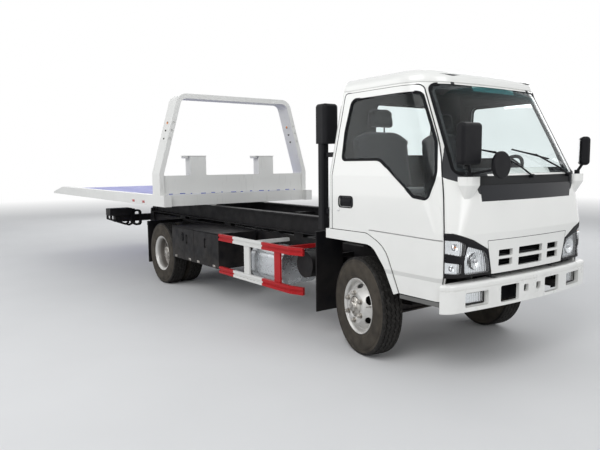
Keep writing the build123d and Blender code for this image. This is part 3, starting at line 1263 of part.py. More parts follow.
def make_glass(window_face):
    """Windscreen and rear window in the cab, and a pane in each door."""
    glass = cab_body(GLASS_INSET) - cab_body(GLASS_INSET + GLASS_THICKNESS)
    screen = glass & along(screen_face(SKIN_GAP), 300, 1200)
    rear = glass & along(rear_window_face(SKIN_GAP), -500, -200)
    keep("cab_glass", screen + rear)
    pane = glass & across(offset(window_face, -SKIN_GAP), 0, 1000)
    keep_pair("door_glass", pane)


def make_roof():
    """Roof pressing with rounded edges and a small lip over the doors."""
    rear, half, front, arc, corner = CAB_SECTIONS[-1][1:]
    outer_face = front_arc_face(rear - ROOF_LIP, half + ROOF_LIP, front + ROOF_LIP, arc, corner + ROOF_LIP,
                                REAR_CORNER_RADIUS + 30)
    roof = upright(outer_face, ROOF_LINE, ROOF_TOP)
    roof = fillet(roof.edges().group_by(Axis.Z)[-1], ROOF_EDGE_RADIUS)
    inner_face = front_arc_face(rear + CAB_WALL, half - CAB_WALL, front - CAB_WALL, arc, corner - CAB_WALL, 8)
    roof -= upright(inner_face, ROOF_LINE - 5, ROOF_TOP - CAB_WALL)
    keep("cab_roof", roof)


def make_arches():
    """White flange over each front wheel, below the door's curved lower edge."""
    sill_z = DOOR_EDGE[7][1] - SEAM
    rear_x = ARCH_EDGE[-1][0]
    door_side = [(rear_x, sill_z, 0), (100, sill_z, 160), (297, 912, 260), (446, 590, 0)]
    face = edge_face(door_side + ARCH_EDGE)
    half = CAB_SECTIONS[0][2]
    keep("wheel_arches", both_sides(across(face, CAB_PAN_HALF_WIDTH, half + ARCH_PROUD)))


def make_steps():
    """Step plates under the doors, each with its inner wall up to the cab floor."""
    step = block((452, DOOR_FRONT_X - 22), (500, 856), (552, 584))
    step += block((452, DOOR_FRONT_X - 22), (500, 512), (552, CAB_FRONT_FLOOR_Z))
    step += block((452, 464), (500, 812), (552, 800))
    keep("door_steps", both_sides(step))


def make_interior():
    """Dashboard, steering wheel and two seats."""
    room = cab_body(CAB_WALL + SKIN_GAP)
    dash_side = edge_face([
        (560, 1180, 30), (640, 1060, 20), (960, 1060, 0),
        (960, DASH_TOP - 40, 0), (860, DASH_TOP - 10, 20), (640, DASH_TOP - 25, 30),
    ])
    dash = across(dash_side, -800, 800) & room
    dash += block((700, 760), (-500, 500), (CAB_FRONT_FLOOR_Z + CAB_FLOOR_THICKNESS, 1080)) & room
    wheel_centre = Vector(430, 400, 1425)
    column_way = Vector(0.82, 0, -0.57)
    plane = Plane(origin=wheel_centre, z_dir=column_way)
    wheel = plane * Torus(200, 15)
    wheel += plane * Cylinder(42, 46)
    for turn in (0, 120, 240):
        wheel += plane * Rot(0, 0, turn + 60) * Pos(105, 0, 0) * Box(190, 30, 14)
    column_end = wheel_centre + column_way.normalized() * 245
    wheel += bar(wheel_centre, column_end, 26)
    dash -= bar(wheel_centre, wheel_centre + column_way.normalized() * 250, 26 + SKIN_GAP)
    keep("dashboard", dash)
    keep("steering_wheel", wheel)
    seats = None
    # Seats: lowest y, highest y
    for y_low, y_high in ((-700, -90), (140, 660)):
        y_mid = (y_low + y_high) / 2
        half = (y_high - y_low) / 2
        base_top = 1190
        seat = block((-205, 225), (y_low + 40, y_high - 40), (CAB_FLOOR_Z + CAB_FLOOR_THICKNESS, base_top))
        cushion = across(flat_rect(-225, 265, base_top, 1340, 50), y_low, y_high)
        back = across(outline([(-255, 1290), (-125, 1290), (-190, 1830), (-288, 1830)], 40), y_low, y_high)
        rest_side = outline([(-282, 1840), (-200, 1840), (-210, 2020), (-272, 2020)], 30)
        rest = across(rest_side, y_mid - 140, y_mid + 140)
        posts = block((-255, -235), (y_mid - 60, y_mid - 45), (1800, 1860))
        posts += block((-255, -235), (y_mid + 45, y_mid + 60), (1800, 1860))
        seat += cushion + back + rest + posts
        seats = seat if seats is None else seats + seat
    keep("seats", seats)


def mirror_head(z_span):
    """A mirror housing with rounded edges."""
    head = across(flat_rect(*MIRROR_X, *z_span, 30), *MIRROR_Y)
    return fillet(head.edges().filter_by(Axis.X), 24)


def make_mirrors():
    """A tall mirror head each side on its arm, and a round mirror on the right."""
    foot_z = SCREEN_BASE - MIRROR_BLOCK_DROP
    x, y = MIRROR_FOOT
    arm = bar((x, y, foot_z), (x, y, foot_z + 30), MIRROR_FOOT_RADIUS)
    arm += bar((x, y, foot_z + 16), (950, 735, 1545), 11)
    x_mid = sum(MIRROR_X) / 2
    y_mid = sum(MIRROR_Y) / 2
    left = mirror_head(MIRROR_Z_LEFT)
    mirrors = Pos(x_mid, LEFT_MIRROR_Y, 0) * Rot(0, 0, LEFT_MIRROR_TURN) * Pos(-x_mid, -y_mid, 0) * left
    mirrors += mirrored(mirror_head(MIRROR_Z_RIGHT)) + both_sides(arm)
    centre = Vector(ROUND_MIRROR_X + MIRROR_GLASS_DEPTH - 15, -575, 1522)
    dome = Plane(origin=centre, z_dir=(1, 0, 0)) * Cylinder(92, 30)
    mirrors += fillet(dome.edges(), 9)
    mirrors += bar((x, -y, foot_z + 18), (ROUND_MIRROR_X, -585, 1500), 9)
    keep("mirrors", mirrors)


def make_snorkel():
    """Raised air intake behind the cab's right corner, held to the rear wall."""
    head = upright(flat_rect(-575, -432, -852, -692, 36), 1715, 2050)
    head = fillet(head.edges().group_by(Axis.Z)[-1], 30)
    duct = upright(flat_rect(-548, -474, -842, -768, 20), 985, 1720)
    for z in (1120, 1600):
        duct += block((-480, -360), (-812, -775), (z, z + 40)) - cab_body(0)
    keep("air_intake", head + duct)


def build():
    make_chassis_frame()
    make_front_axle()
    make_knuckles()
    make_front_wheels()
    make_rear_axle()
    make_rear_wheels()
    make_springs()
    make_engine()
    make_exhaust()
    make_bumper()
    make_road_lamps()
    make_mud_panels()
    make_tool_boxes()
    make_fuel_tank()
    make_left_boxes()
    make_side_guards()
    make_sub_frame()
    make_cylinders()
    make_bed_frame()
    make_bed_deck()
    make_headboard()
    make_headboard_panel()
    make_winch()
    make_wheel_lift()
    make_cab()
    make_mirrors()
    make_snorkel()


build()
os.makedirs("parts", exist_ok=True)
for node, solid in NODES.items():
    export_step(Pos(FRONT_AXLE_X, 0, 0) * solid, "parts/" + node + ".step")
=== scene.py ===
import json
import math

import bpy
from mathutils import Matrix, Vector

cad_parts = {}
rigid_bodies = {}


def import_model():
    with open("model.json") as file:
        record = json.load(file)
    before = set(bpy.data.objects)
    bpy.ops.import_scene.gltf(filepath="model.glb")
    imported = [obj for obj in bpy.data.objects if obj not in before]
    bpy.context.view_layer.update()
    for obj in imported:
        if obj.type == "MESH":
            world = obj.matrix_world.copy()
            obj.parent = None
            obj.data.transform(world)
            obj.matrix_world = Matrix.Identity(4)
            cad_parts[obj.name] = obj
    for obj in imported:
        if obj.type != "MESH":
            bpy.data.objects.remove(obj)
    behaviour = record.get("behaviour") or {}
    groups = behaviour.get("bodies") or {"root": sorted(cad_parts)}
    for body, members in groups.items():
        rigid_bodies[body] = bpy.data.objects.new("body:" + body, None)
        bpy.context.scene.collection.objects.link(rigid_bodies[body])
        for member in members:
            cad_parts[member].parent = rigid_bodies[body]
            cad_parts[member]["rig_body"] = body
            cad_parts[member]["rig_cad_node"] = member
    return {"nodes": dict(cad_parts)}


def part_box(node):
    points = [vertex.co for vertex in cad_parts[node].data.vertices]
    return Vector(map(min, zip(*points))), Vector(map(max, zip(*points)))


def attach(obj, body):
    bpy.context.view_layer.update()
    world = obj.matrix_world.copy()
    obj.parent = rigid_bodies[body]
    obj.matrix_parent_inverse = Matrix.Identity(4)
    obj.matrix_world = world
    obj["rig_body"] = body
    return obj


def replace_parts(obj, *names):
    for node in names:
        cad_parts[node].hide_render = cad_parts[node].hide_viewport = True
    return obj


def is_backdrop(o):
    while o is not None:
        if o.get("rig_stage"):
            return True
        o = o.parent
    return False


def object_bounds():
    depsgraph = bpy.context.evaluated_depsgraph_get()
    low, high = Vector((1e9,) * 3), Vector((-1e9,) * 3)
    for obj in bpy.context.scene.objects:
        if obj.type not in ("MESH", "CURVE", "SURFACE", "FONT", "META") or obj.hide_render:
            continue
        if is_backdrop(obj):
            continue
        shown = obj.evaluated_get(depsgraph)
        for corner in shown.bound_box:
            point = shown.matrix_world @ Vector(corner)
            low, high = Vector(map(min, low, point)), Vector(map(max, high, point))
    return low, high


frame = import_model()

bl_info = {
    "name": "Tow Truck Dressing",
    "version": (1, 0, 0),
    "blender": (4, 5, 0),
    "location": "3D View > Sidebar > Tow Truck",
    "description": "Tyres, lamps, seals, seats, fittings and materials for a flatbed tow truck",
    "category": "Add Mesh",
}

# Places, in metres from the ground and from the middle of the front axle, as in the part's source
FRONT_AXLE_X = 3.722
WHEELBASE = 3.815
WHEEL_HEIGHT = 0.397
FRONT_WHEEL = (0.0191, 0.750)
REAR_WHEEL_Y = 0.7125
TWIN_SPACING = 0.235
REAR_DISH = REAR_WHEEL_Y + TWIN_SPACING / 2 + 0.065
STEER_ANGLE = math.radians(-12)
SCREEN_CORNERS = [(-0.742, 1.461), (0.742, 1.461), (0.655, 2.112), (-0.655, 2.112)]
SCREEN_RADII = [0.04, 0.04, 0.06, 0.06]
REAR_WINDOW_CORNERS = [(-0.375, 1.60), (0.375, 1.60), (0.375, 2.06), (-0.375, 2.06)]
# Side window: distance ahead of the axle, height, corner radius
SIDE_WINDOW = [
    (0.575, 1.300, 0.040), (0.708, 1.285, 0.040), (0.752, 1.450, 0.200), (0.690, 1.690, 0.300),
    (0.505, 2.058, 0.070), (-0.178, 2.058, 0.060), (-0.222, 1.800, 0.300), (-0.222, 1.568, 0.040),
    (0.215, 1.568, 0.120),
]
# Headlamp windows: corners across and up, seen from the front
LAMP_WINDOWS = {
    "indicator": [(0.855, 1.018), (0.855, 0.930), (0.722, 0.900), (0.706, 0.985), (0.760, 1.012)],
    "side": [(0.852, 0.868), (0.852, 0.790), (0.742, 0.780), (0.738, 0.850)],
    "main": [(0.690, 0.972), (0.716, 0.870), (0.709, 0.776), (0.470, 0.774), (0.480, 0.850), (0.520, 0.925)],
}
# Door: distance ahead of the axle, height, corner radius; the rubber in its gap
DOOR_EDGE = [
    (0.826, 0.590, 0.012), (0.844, 0.770, 0.000), (0.844, 1.040, 0.900), (0.778, 1.530, 1.500),
    (0.498, 2.106, 0.060), (-0.262, 2.106, 0.030), (-0.322, 1.450, 0.000), (-0.322, 1.008, 0.010),
    (0.100, 1.008, 0.160), (0.300, 0.915, 0.260), (0.452, 0.590, 0.006),
]
SEAM_RADIUS = 0.0036
# Grille panel seen from the front
GRILLE_EDGE = [
    (-0.443, 0.752), (0.443, 0.752), (0.448, 0.776), (0.487, 0.940), (0.494, 0.995),
    (-0.494, 0.995), (-0.487, 0.940), (-0.448, 0.776),
]
FOG_WINDOW = [(0.720, 0.650), (0.720, 0.557), (0.505, 0.557), (0.505, 0.650)]
TAIL_LAMP = ((-4.329, -4.284), (0.560, 0.860), (0.700, 0.790))
# Wipers: pivot, blade's two ends, each across and up
WIPERS = [
    ((-0.008, 1.440), (-0.545, 1.640), (-0.216, 1.590)),
    ((0.516, 1.442), (-0.126, 1.633), (0.313, 1.563)),
]
HANDLE = ((-0.238, -0.072), (1.195, 1.278))
KEY = (-0.244, 1.165)
SIDES = (("left", 1), ("right", -1))
# Mirror heads: place across, turn about the upright, lowest and highest edge of the glass
MIRROR_HEADS = {"left": (0.700, math.radians(33), 1.535, 1.715), "right": (-0.746, 0.0, 1.548, 1.782)}
LOOP_HOLES = (2.070, 1.970, 1.870)
GUARD_WHITE = (-1.86, -1.30)
# Dark boards behind the bumper's holes as painted shade: spans across, and their limits ahead and up
SHADE_BOARD_SPANS = ((-0.80, -0.43), (-0.34, 0.34), (0.43, 0.80))
SHADE_BOARD_DEPTH, SHADE_BOARD_HEIGHT = (0.872, 0.878), (0.530, 0.652)
# Louvres behind the grille, in unlit black as painted shade: count, lowest edge, pitch; then the screen
# behind them
LOUVRES = (6, 0.797, 0.024)
LOUVRE_DEPTH, LOUVRE_HALF_WIDTH, LOUVRE_THICKNESS = (0.895, 0.925), 0.385, 0.005
SHADE_SCREEN_DEPTH, SHADE_SCREEN_HALF_WIDTH, SHADE_SCREEN_HEIGHT = (0.880, 0.893), 0.392, (0.790, 0.930)
BORE_RADIUS = 0.0175
# Oval of a tool box latch: half width, half height, and how far it sits below the door's top
LATCH = (0.031, 0.054, 0.100)
RED_MARKS = (-4.250, -3.890)
SEAT_SPANS = {"bench": (-0.700, -0.090), "driver": (0.140, 0.660)}
# Each pad: side view's corners and their radii, half width if its own, most it swells, fall of its top
PADS = {
    "cushion": ([(-0.222, 1.198), (0.262, 1.198), (0.262, 1.328), (-0.222, 1.322)],
                [0.03, 0.045, 0.045, 0.03], None, 0.014, 0.0),
    "back": ([(-0.250, 1.298), (-0.132, 1.298), (-0.194, 1.822), (-0.284, 1.822)],
             [0.02, 0.03, 0.035, 0.03], None, 0.014, 0.075),
    "headrest": ([(-0.278, 1.848), (-0.206, 1.848), (-0.216, 2.010), (-0.268, 2.010)],
                 [0.02] * 4, 0.13, 0.010, 0.045),
}


def at(x, y, z):
    """A point of the part's frame from its distance ahead of the front axle, across and up."""
    return Vector((x + FRONT_AXLE_X, y, z))


def sizes():
    return bpy.context.scene.tow_truck_sizes


def colours():
    return bpy.context.scene.tow_truck_colours


# Settings


class TowTruckSizes(bpy.types.PropertyGroup):
    tyre_radius: bpy.props.FloatProperty(
        name="Tyre radius", description="Radius of the tread", default=0.397, unit="LENGTH")
    tyre_width: bpy.props.FloatProperty(
        name="Tyre width", description="Width over the sidewalls", default=0.188, unit="LENGTH")
    flange_radius: bpy.props.FloatProperty(
        name="Rim flange radius", description="Where the tyre meets the rim",
        default=0.2265, unit="LENGTH")
    groove_depth: bpy.props.FloatProperty(
        name="Groove depth", description="Depth of the tread grooves", default=0.011, unit="LENGTH")
    groove_width: bpy.props.FloatProperty(
        name="Groove width", description="Width of the tread grooves", default=0.009, unit="LENGTH")
    tread_pitches: bpy.props.IntProperty(
        name="Tread pitches", description="Zigzags round a tyre", default=54, min=12)
    nut_size: bpy.props.FloatProperty(
        name="Nut size", description="Radius of a wheel nut", default=0.019, unit="LENGTH")
    seal_lip: bpy.props.FloatProperty(
        name="Seal lip", description="How far a window seal lies over the panel",
        default=0.007, unit="LENGTH")
    seal_width: bpy.props.FloatProperty(
        name="Seal width", description="How far a window seal lies over the glass",
        default=0.015, unit="LENGTH")
    wiper_width: bpy.props.FloatProperty(
        name="Wiper width", description="Width of a wiper's arm", default=0.014, unit="LENGTH")
    weave_pitch: bpy.props.FloatProperty(
        name="Weave pitch", description="Threads of the seat cloth per metre", default=420.0)
    cushion_voxel: bpy.props.FloatProperty(
        name="Cushion voxel", description="Grid of the seat cloth simulation",
        default=0.010, unit="LENGTH")


class TowTruckColours(bpy.types.PropertyGroup):
    cab: bpy.props.FloatVectorProperty(
        name="Cab", description="Paint of the cab", subtype="COLOR", default=(0.775, 0.775, 0.750))
    lining: bpy.props.FloatVectorProperty(
        name="Cab lining", description="Lining inside the cab", subtype="COLOR",
        default=(0.030, 0.031, 0.034))
    bed: bpy.props.FloatVectorProperty(
        name="Bed", description="Paint of the bed and headboard", subtype="COLOR",
        default=(0.72, 0.72, 0.70))
    deck: bpy.props.FloatVectorProperty(
        name="Deck", description="Film on the deck", subtype="COLOR", default=(0.33, 0.34, 0.66))
    chassis: bpy.props.FloatVectorProperty(
        name="Chassis", description="Paint of the frame and boxes", subtype="COLOR",
        default=(0.008, 0.008, 0.0095))
    plastic: bpy.props.FloatVectorProperty(
        name="Plastic", description="Black plastic and rubber", subtype="COLOR",
        default=(0.006, 0.006, 0.0075))
    rim: bpy.props.FloatVectorProperty(
        name="Rims", description="Paint of the rims", subtype="COLOR", default=(0.56, 0.55, 0.53))
    tyre: bpy.props.FloatVectorProperty(
        name="Tyres", description="Tyre rubber", subtype="COLOR", default=(0.018, 0.017, 0.016))
    red: bpy.props.FloatVectorProperty(
        name="Red", description="Side guards and marks", subtype="COLOR",
        default=(0.40, 0.010, 0.014))
    cloth: bpy.props.FloatVectorProperty(
        name="Cloth", description="Woven cloth of the cushions", subtype="COLOR",
        default=(0.018, 0.018, 0.021))
    glass: bpy.props.FloatVectorProperty(
        name="Glass", description="Tint of the windows", subtype="COLOR", default=(0.87, 0.92, 0.92))


# Materials


class Shader:
    """One material's node tree, wired by short calls."""

    def __init__(self, name):
        self.material = bpy.data.materials.new(name.replace("_", " ").capitalize())
        self.material.use_nodes = True
        self.tree = self.material.node_tree
        self.surface = self.tree.nodes["Principled BSDF"]
        self.place = self.add("ShaderNodeTexCoord").outputs["Object"]

    def add(self, kind, inputs=None, **settings):
        """Add a node; its inputs, by name or number, are values or what to wire there."""
        node = self.tree.nodes.new(kind)
        for key, value in settings.items():
            setattr(node, key, value)
        for key, value in (inputs or {}).items():
            self.put(node.inputs[key], value)
        return node

    def put(self, socket, value):
        if isinstance(value, bpy.types.NodeSocket):
            self.tree.links.new(value, socket)
        else:
            socket.default_value = value

    def give(self, inputs):
        """Set or wire inputs of the surface by name."""
        for name, value in inputs.items():
            self.put(self.surface.inputs[name], value)

    def noise(self, scale, detail=3.0, stretch=(1, 1, 1)):
        place = self.place
        if stretch != (1, 1, 1):
            place = self.add("ShaderNodeMapping", {"Vector": place, "Scale": stretch}).outputs["Vector"]
        inputs = {"Vector": place, "Scale": scale, "Detail": detail}
        return self.add("ShaderNodeTexNoise", inputs).outputs["Fac"]

    def wave(self, scale, direction, distortion=0.0):
        inputs = {"Vector": self.place, "Scale": scale, "Distortion": distortion}
        return self.add("ShaderNodeTexWave", inputs, bands_direction=direction).outputs["Fac"]

    def axis(self, name):
        return self.add("ShaderNodeSeparateXYZ", {0: self.place}).outputs[name]

    def span(self, value, from_low, from_high, to_low=0.0, to_high=1.0):
        inputs = {"Value": value, "From Min": from_low, "From Max": from_high}
        inputs.update({"To Min": to_low, "To Max": to_high})
        return self.add("ShaderNodeMapRange", inputs).outputs["Result"]

    def sum(self, operation, a, b=0.0):
        return self.add("ShaderNodeMath", {0: a, 1: b}, operation=operation).outputs["Value"]

    def blend(self, share, first, second):
        inputs = {"Factor": share}
        for socket, value in ((6, first), (7, second)):
            inputs[socket] = value if isinstance(value, bpy.types.NodeSocket) else (*value, 1)
        return self.add("ShaderNodeMix", inputs, data_type="RGBA").outputs[2]

    def bump(self, height, strength, distance=0.001):
        inputs = {"Strength": strength, "Distance": distance, "Height": height}
        self.give({"Normal": self.add("ShaderNodeBump", inputs).outputs["Normal"]})

    def colour(self, value):
        self.give({"Base Color": value})

    def roughness(self, value):
        self.give({"Roughness": value})

    def wired(self, name):
        """What is wired to an input of the surface so far."""
        return self.surface.inputs[name].links[0].from_socket

    def over(self, mask, colour):
        """Lay a colour over the present one where the mask is 1."""
        self.colour(self.blend(mask, self.wired("Base Color"), colour))

    def size(self, axis):
        """Distance from the part's middle plane along one axis."""
        return self.sum("ABSOLUTE", self.axis(axis))


def tinted(colour, factor):
    return tuple(min(1.0, part * factor) for part in colour)


def finish(name, colour, rough=(0.3, 0.4), spread=0.05, grain=300.0, relief=0.05, metal=0.0, coat=0.0,
           dust=0.0, gloss=0.5):
    """A paint or plastic: uneven colour and gloss, fine relief, and road dust towards the ground."""
    shader = Shader(name)
    patches = shader.noise(2.5, 4.0)
    darker, lighter = tinted(colour, 1 - spread), tinted(colour, 1 + spread)
    paint = shader.blend(shader.span(patches, 0.3, 0.7), darker, lighter)
    if dust:
        low = shader.span(shader.axis("Z"), 1.15, 0.25, 0.0, dust)
        amount = shader.sum("MULTIPLY", low, shader.span(shader.noise(7.0, 6.0), 0.35, 0.65))
        paint = shader.blend(amount, paint, (0.21, 0.18, 0.15))
    shader.colour(paint)
    shader.roughness(shader.span(shader.noise(11.0), 0.3, 0.7, *rough))
    shader.give({"Metallic": metal, "Specular IOR Level": gloss, "Coat Weight": coat, "Coat Roughness": 0.04})
    shader.bump(shader.noise(grain, 2.0), relief)
    return shader


# Cab form as its lining sees it, at the window sill and at the roof
SILL_Z, ROOF_Z = 1.447, 2.128
HALF_WIDTHS = (0.860, 0.757)
FRONTS = (0.950, 0.602)
REARS = (-0.388, -0.333)
CORNER = 0.32
LINING_DEPTH = 0.020
LINING_TOP = 2.186
# Sheet work of the cab: groove along the side, step above the sill, height where the strip turns to cowl
SIDE_GROOVE = ((0.12, 1.030), (0.838, 1.012))
GROOVE_WIDTH, GROOVE_DEPTH = 0.004, 0.014
SILL_STEP = (0.722, 0.752)
COWL_Z = 1.384
TINT_BAND = (2.00, 2.06)


def inside_cab(shader):
    """A mask that is 1 behind the cab's outer panels and 0 on them."""
    x, y, z = (shader.axis(name) for name in "XYZ")
    half = shader.span(z, SILL_Z, ROOF_Z, *HALF_WIDTHS)
    front = shader.span(z, SILL_Z, ROOF_Z, *(value + FRONT_AXLE_X for value in FRONTS))
    rear = shader.span(z, SILL_Z, ROOF_Z, *(value + FRONT_AXLE_X + LINING_DEPTH for value in REARS))
    ahead = shader.sum("SUBTRACT", x, shader.sum("SUBTRACT", front, CORNER))
    beside = shader.sum("SUBTRACT", shader.sum("ABSOLUTE", y), shader.sum("SUBTRACT", half, CORNER))
    ahead = shader.sum("MAXIMUM", ahead, 0.0)
    beside = shader.sum("MAXIMUM", beside, 0.0)
    squares = shader.sum("ADD", shader.sum("POWER", ahead, 2.0), shader.sum("POWER", beside, 2.0))
    within = shader.sum("LESS_THAN", shader.sum("SQRT", squares), CORNER - LINING_DEPTH)
    within = shader.sum("MULTIPLY", within, shader.sum("GREATER_THAN", x, rear))
    return shader.sum("MULTIPLY", within, shader.sum("LESS_THAN", z, LINING_TOP))


def press_line(shader, start, end, width):
    """A mask of a straight groove in the cab side, from one (x, z) point to another."""
    run = end[0] - start[0]
    slope = (end[1] - start[1]) / run
    x, z = shader.axis("X"), shader.axis("Z")
    level = shader.sum("ADD", shader.sum("MULTIPLY", x, slope), start[1] - slope * (start[0] + FRONT_AXLE_X))
    off = shader.sum("ABSOLUTE", shader.sum("SUBTRACT", z, level))
    line = shader.span(off, width, 0.0)
    low, high = sorted((start[0] + FRONT_AXLE_X, end[0] + FRONT_AXLE_X))
    line = shader.sum("MULTIPLY", line, shader.sum("GREATER_THAN", x, low))
    return shader.sum("MULTIPLY", line, shader.sum("LESS_THAN", x, high))


def cab_paint():
    """Gloss white with the press lines of the cab side, a dark line of painted shade in the side groove, and
    dark lining within.
    """
    shader = finish("cab_paint", colours().cab, rough=(0.22, 0.27), spread=0.012, coat=0.6, dust=0.08)
    mask = inside_cab(shader)
    gloss = shader.wired("Roughness")
    groove = press_line(shader, *SIDE_GROOVE, GROOVE_WIDTH)
    # Painted shade: a dark grey line laid along the side groove, where its shadow falls
    shader.over(shader.sum("MULTIPLY", groove, 0.35), (0.25, 0.25, 0.25))
    shader.over(mask, tuple(colours().lining))
    shader.roughness(shader.sum("MAXIMUM", gloss, shader.sum("MULTIPLY", mask, 0.85)))
    shader.give({"Coat Weight": shader.span(mask, 0.0, 1.0, 0.6, 0.0)})
    step = shader.span(shader.axis("Z"), *SILL_STEP)
    beside = shader.sum("GREATER_THAN", shader.size("Y"), 0.83)
    relief = shader.sum("SUBTRACT", shader.sum("MULTIPLY", step, beside), groove)
    shader.bump(relief, 1.0, GROOVE_DEPTH)
    return shader.material


def bed_paint():
    """Satin white over welded sheet, with grey weld stains that run down."""
    shader = finish("bed_paint", colours().bed, rough=(0.38, 0.48), spread=0.025, grain=90, relief=0.04,
                    dust=0.05, gloss=0.35)
    stains = shader.span(shader.noise(26.0, 6.0, (1.0, 1.0, 0.16)), 0.60, 0.74)
    shader.over(shader.sum("MULTIPLY", stains, 0.18), (0.33, 0.31, 0.29))
    return shader.material


def deck_film():
    """Lilac protective film that lies in long wrinkles on the deck."""
    shader = finish("deck_film", colours().deck, rough=(0.50, 0.72), spread=0.10, gloss=0.12)
    shader.bump(shader.noise(9.0, 5.0, (0.35, 1.6, 1.0)), 0.55, 0.006)
    return shader.material


def tank_film():
    """Bare aluminium under loose clear film."""
    shader = finish("tank_film", (0.52, 0.54, 0.56), rough=(0.12, 0.42), spread=0.14, metal=0.75, coat=0.5)
    shader.bump(shader.noise(24.0, 5.0, (1.0, 1.0, 2.2)), 0.7, 0.004)
    return shader.material


def tyre_rubber():
    """Rubber of the sidewalls, browned by road dust and scuffed."""
    shader = finish("tyre_rubber", colours().tyre, rough=(0.70, 0.88), spread=0.25, grain=420, relief=0.25,
                    gloss=0.15)
    scuffs = shader.span(shader.noise(12.0, 7.0), 0.30, 0.70, 0.35, 0.95)
    shader.over(scuffs, (0.072, 0.062, 0.050))
    return shader.material


def tread_rubber():
    """Darker rubber of the tread, worn bright on its ribs."""
    shader = finish("tread_rubber", colours().tyre, rough=(0.62, 0.80), spread=0.3, grain=500, relief=0.2,
                    gloss=0.12)
    worn = shader.span(shader.noise(35.0, 5.0), 0.45, 0.75, 0.0, 0.55)
    shader.over(worn, (0.060, 0.057, 0.053))
    return shader.material


def rim_paint():
    """Silver paint, greyed by brake dust, and darker inside the rear wheels' barrels with grime and painted
    shade.
    """
    shader = finish("rim_paint", colours().rim, rough=(0.30, 0.45), spread=0.06, grain=160, relief=0.05,
                    metal=0.30, coat=0.2)
    grime = shader.span(shader.noise(16.0, 7.0), 0.50, 0.80, 0.0, 0.40)
    # Grime and painted shade: the rear wheels darken inboard of their outer dish, inside the barrel
    inside = shader.span(shader.size("Y"), REAR_DISH - 0.05, REAR_DISH, 0.85, 0.0)
    rear = shader.sum("LESS_THAN", shader.axis("X"), FRONT_AXLE_X - WHEELBASE / 2)
    grime = shader.sum("MAXIMUM", grime, shader.sum("MULTIPLY", inside, rear))
    shader.over(grime, (0.10, 0.085, 0.07))
    return shader.material


def hub_metal():
    """Zinc of nuts and hubs, dulled and stained."""
    shader = finish("hub_metal", (0.46, 0.44, 0.41), rough=(0.22, 0.42), spread=0.2, grain=200, relief=0.1,
                    metal=0.85)
    grime = shader.span(shader.noise(30.0, 6.0), 0.45, 0.70, 0.0, 0.7)
    shader.over(grime, (0.09, 0.075, 0.06))
    return shader.material


def strip_black():
    """Gloss strip under a matt cowl."""
    shader = finish("strip_black", (0.010, 0.011, 0.014), rough=(0.08, 0.14), spread=0.2, grain=40,
                    relief=0.02, coat=0.12, gloss=0.2)
    cowl = shader.sum("GREATER_THAN", shader.axis("Z"), COWL_Z)
    gloss = shader.wired("Roughness")
    shader.over(cowl, (0.014, 0.0145, 0.0155))
    shader.roughness(shader.sum("MAXIMUM", gloss, shader.sum("MULTIPLY", cowl, 0.6)))
    shader.give({"Coat Weight": shader.span(cowl, 0.0, 1.0, 0.12, 0.0)})
    return shader.material


def guard_paint():
    """Side guard tubes in red, with one white length."""
    shader = finish("guard_paint", colours().red, rough=(0.34, 0.46), spread=0.06, coat=0.05, dust=0.08,
                    gloss=0.12)
    ahead = shader.sum("GREATER_THAN", shader.axis("X"), GUARD_WHITE[0] + FRONT_AXLE_X)
    behind = shader.sum("LESS_THAN", shader.axis("X"), GUARD_WHITE[1] + FRONT_AXLE_X)
    shader.over(shader.sum("MULTIPLY", ahead, behind), (0.68, 0.68, 0.66))
    return shader.material


def lamp_silver():
    """Vapour-coated reflector with pressed flutes."""
    shader = finish("lamp_silver", (0.93, 0.94, 0.96), rough=(0.10, 0.18), spread=0.04, metal=1.0)
    shader.bump(shader.wave(18.0, "Y", 2.0), 0.35, 0.004)
    return shader.material


def clear_lens():
    """Clear moulded lens with soft vertical lines."""
    shader = finish("clear_lens", (0.97, 0.98, 0.98), rough=(0.0, 0.02), spread=0.01)
    shader.give({"Transmission Weight": 1.0, "IOR": 1.45})
    shader.bump(shader.wave(30.0, "Y", 0.6), 0.05, 0.001)
    return shader.material


def tinted_lens(name, colour):
    """Coloured moulded lens with fine ribs."""
    shader = finish(name, colour, rough=(0.10, 0.22), spread=0.12, coat=0.6)
    shader.bump(shader.wave(70.0, "Y"), 0.5, 0.002)
    return shader.material


def window_glass():
    """Faintly green glass with a darker green band along the windscreen's top."""
    shader = finish("window_glass", colours().glass, rough=(0.0, 0.03), spread=0.02, grain=3, relief=0.01,
                    gloss=0.35)
    band = shader.span(shader.axis("Z"), *TINT_BAND)
    front = shader.sum("GREATER_THAN", shader.axis("X"), FRONT_AXLE_X + 0.6)
    shader.over(shader.sum("MULTIPLY", band, front), (0.12, 0.34, 0.36))
    shader.give({"Transmission Weight": 1.0, "IOR": 1.2})
    return shader.material


def woven_cloth():
    """Woven cloth: two crossed thread waves and a soft sheen."""
    shader = finish("woven_cloth", colours().cloth, rough=(0.80, 0.95), spread=0.22, gloss=0.1)
    pitch = sizes().weave_pitch
    weave = shader.sum("MAXIMUM", shader.wave(pitch, "Y", 0.4), shader.wave(pitch, "DIAGONAL", 0.4))
    shader.over(shader.span(weave, 0.2, 0.9, 0.0, 0.5), tinted(colours().cloth, 2.4))
    shader.give({"Sheen Weight": 0.3})
    shader.bump(weave, 0.5, 0.001)
    return shader.material


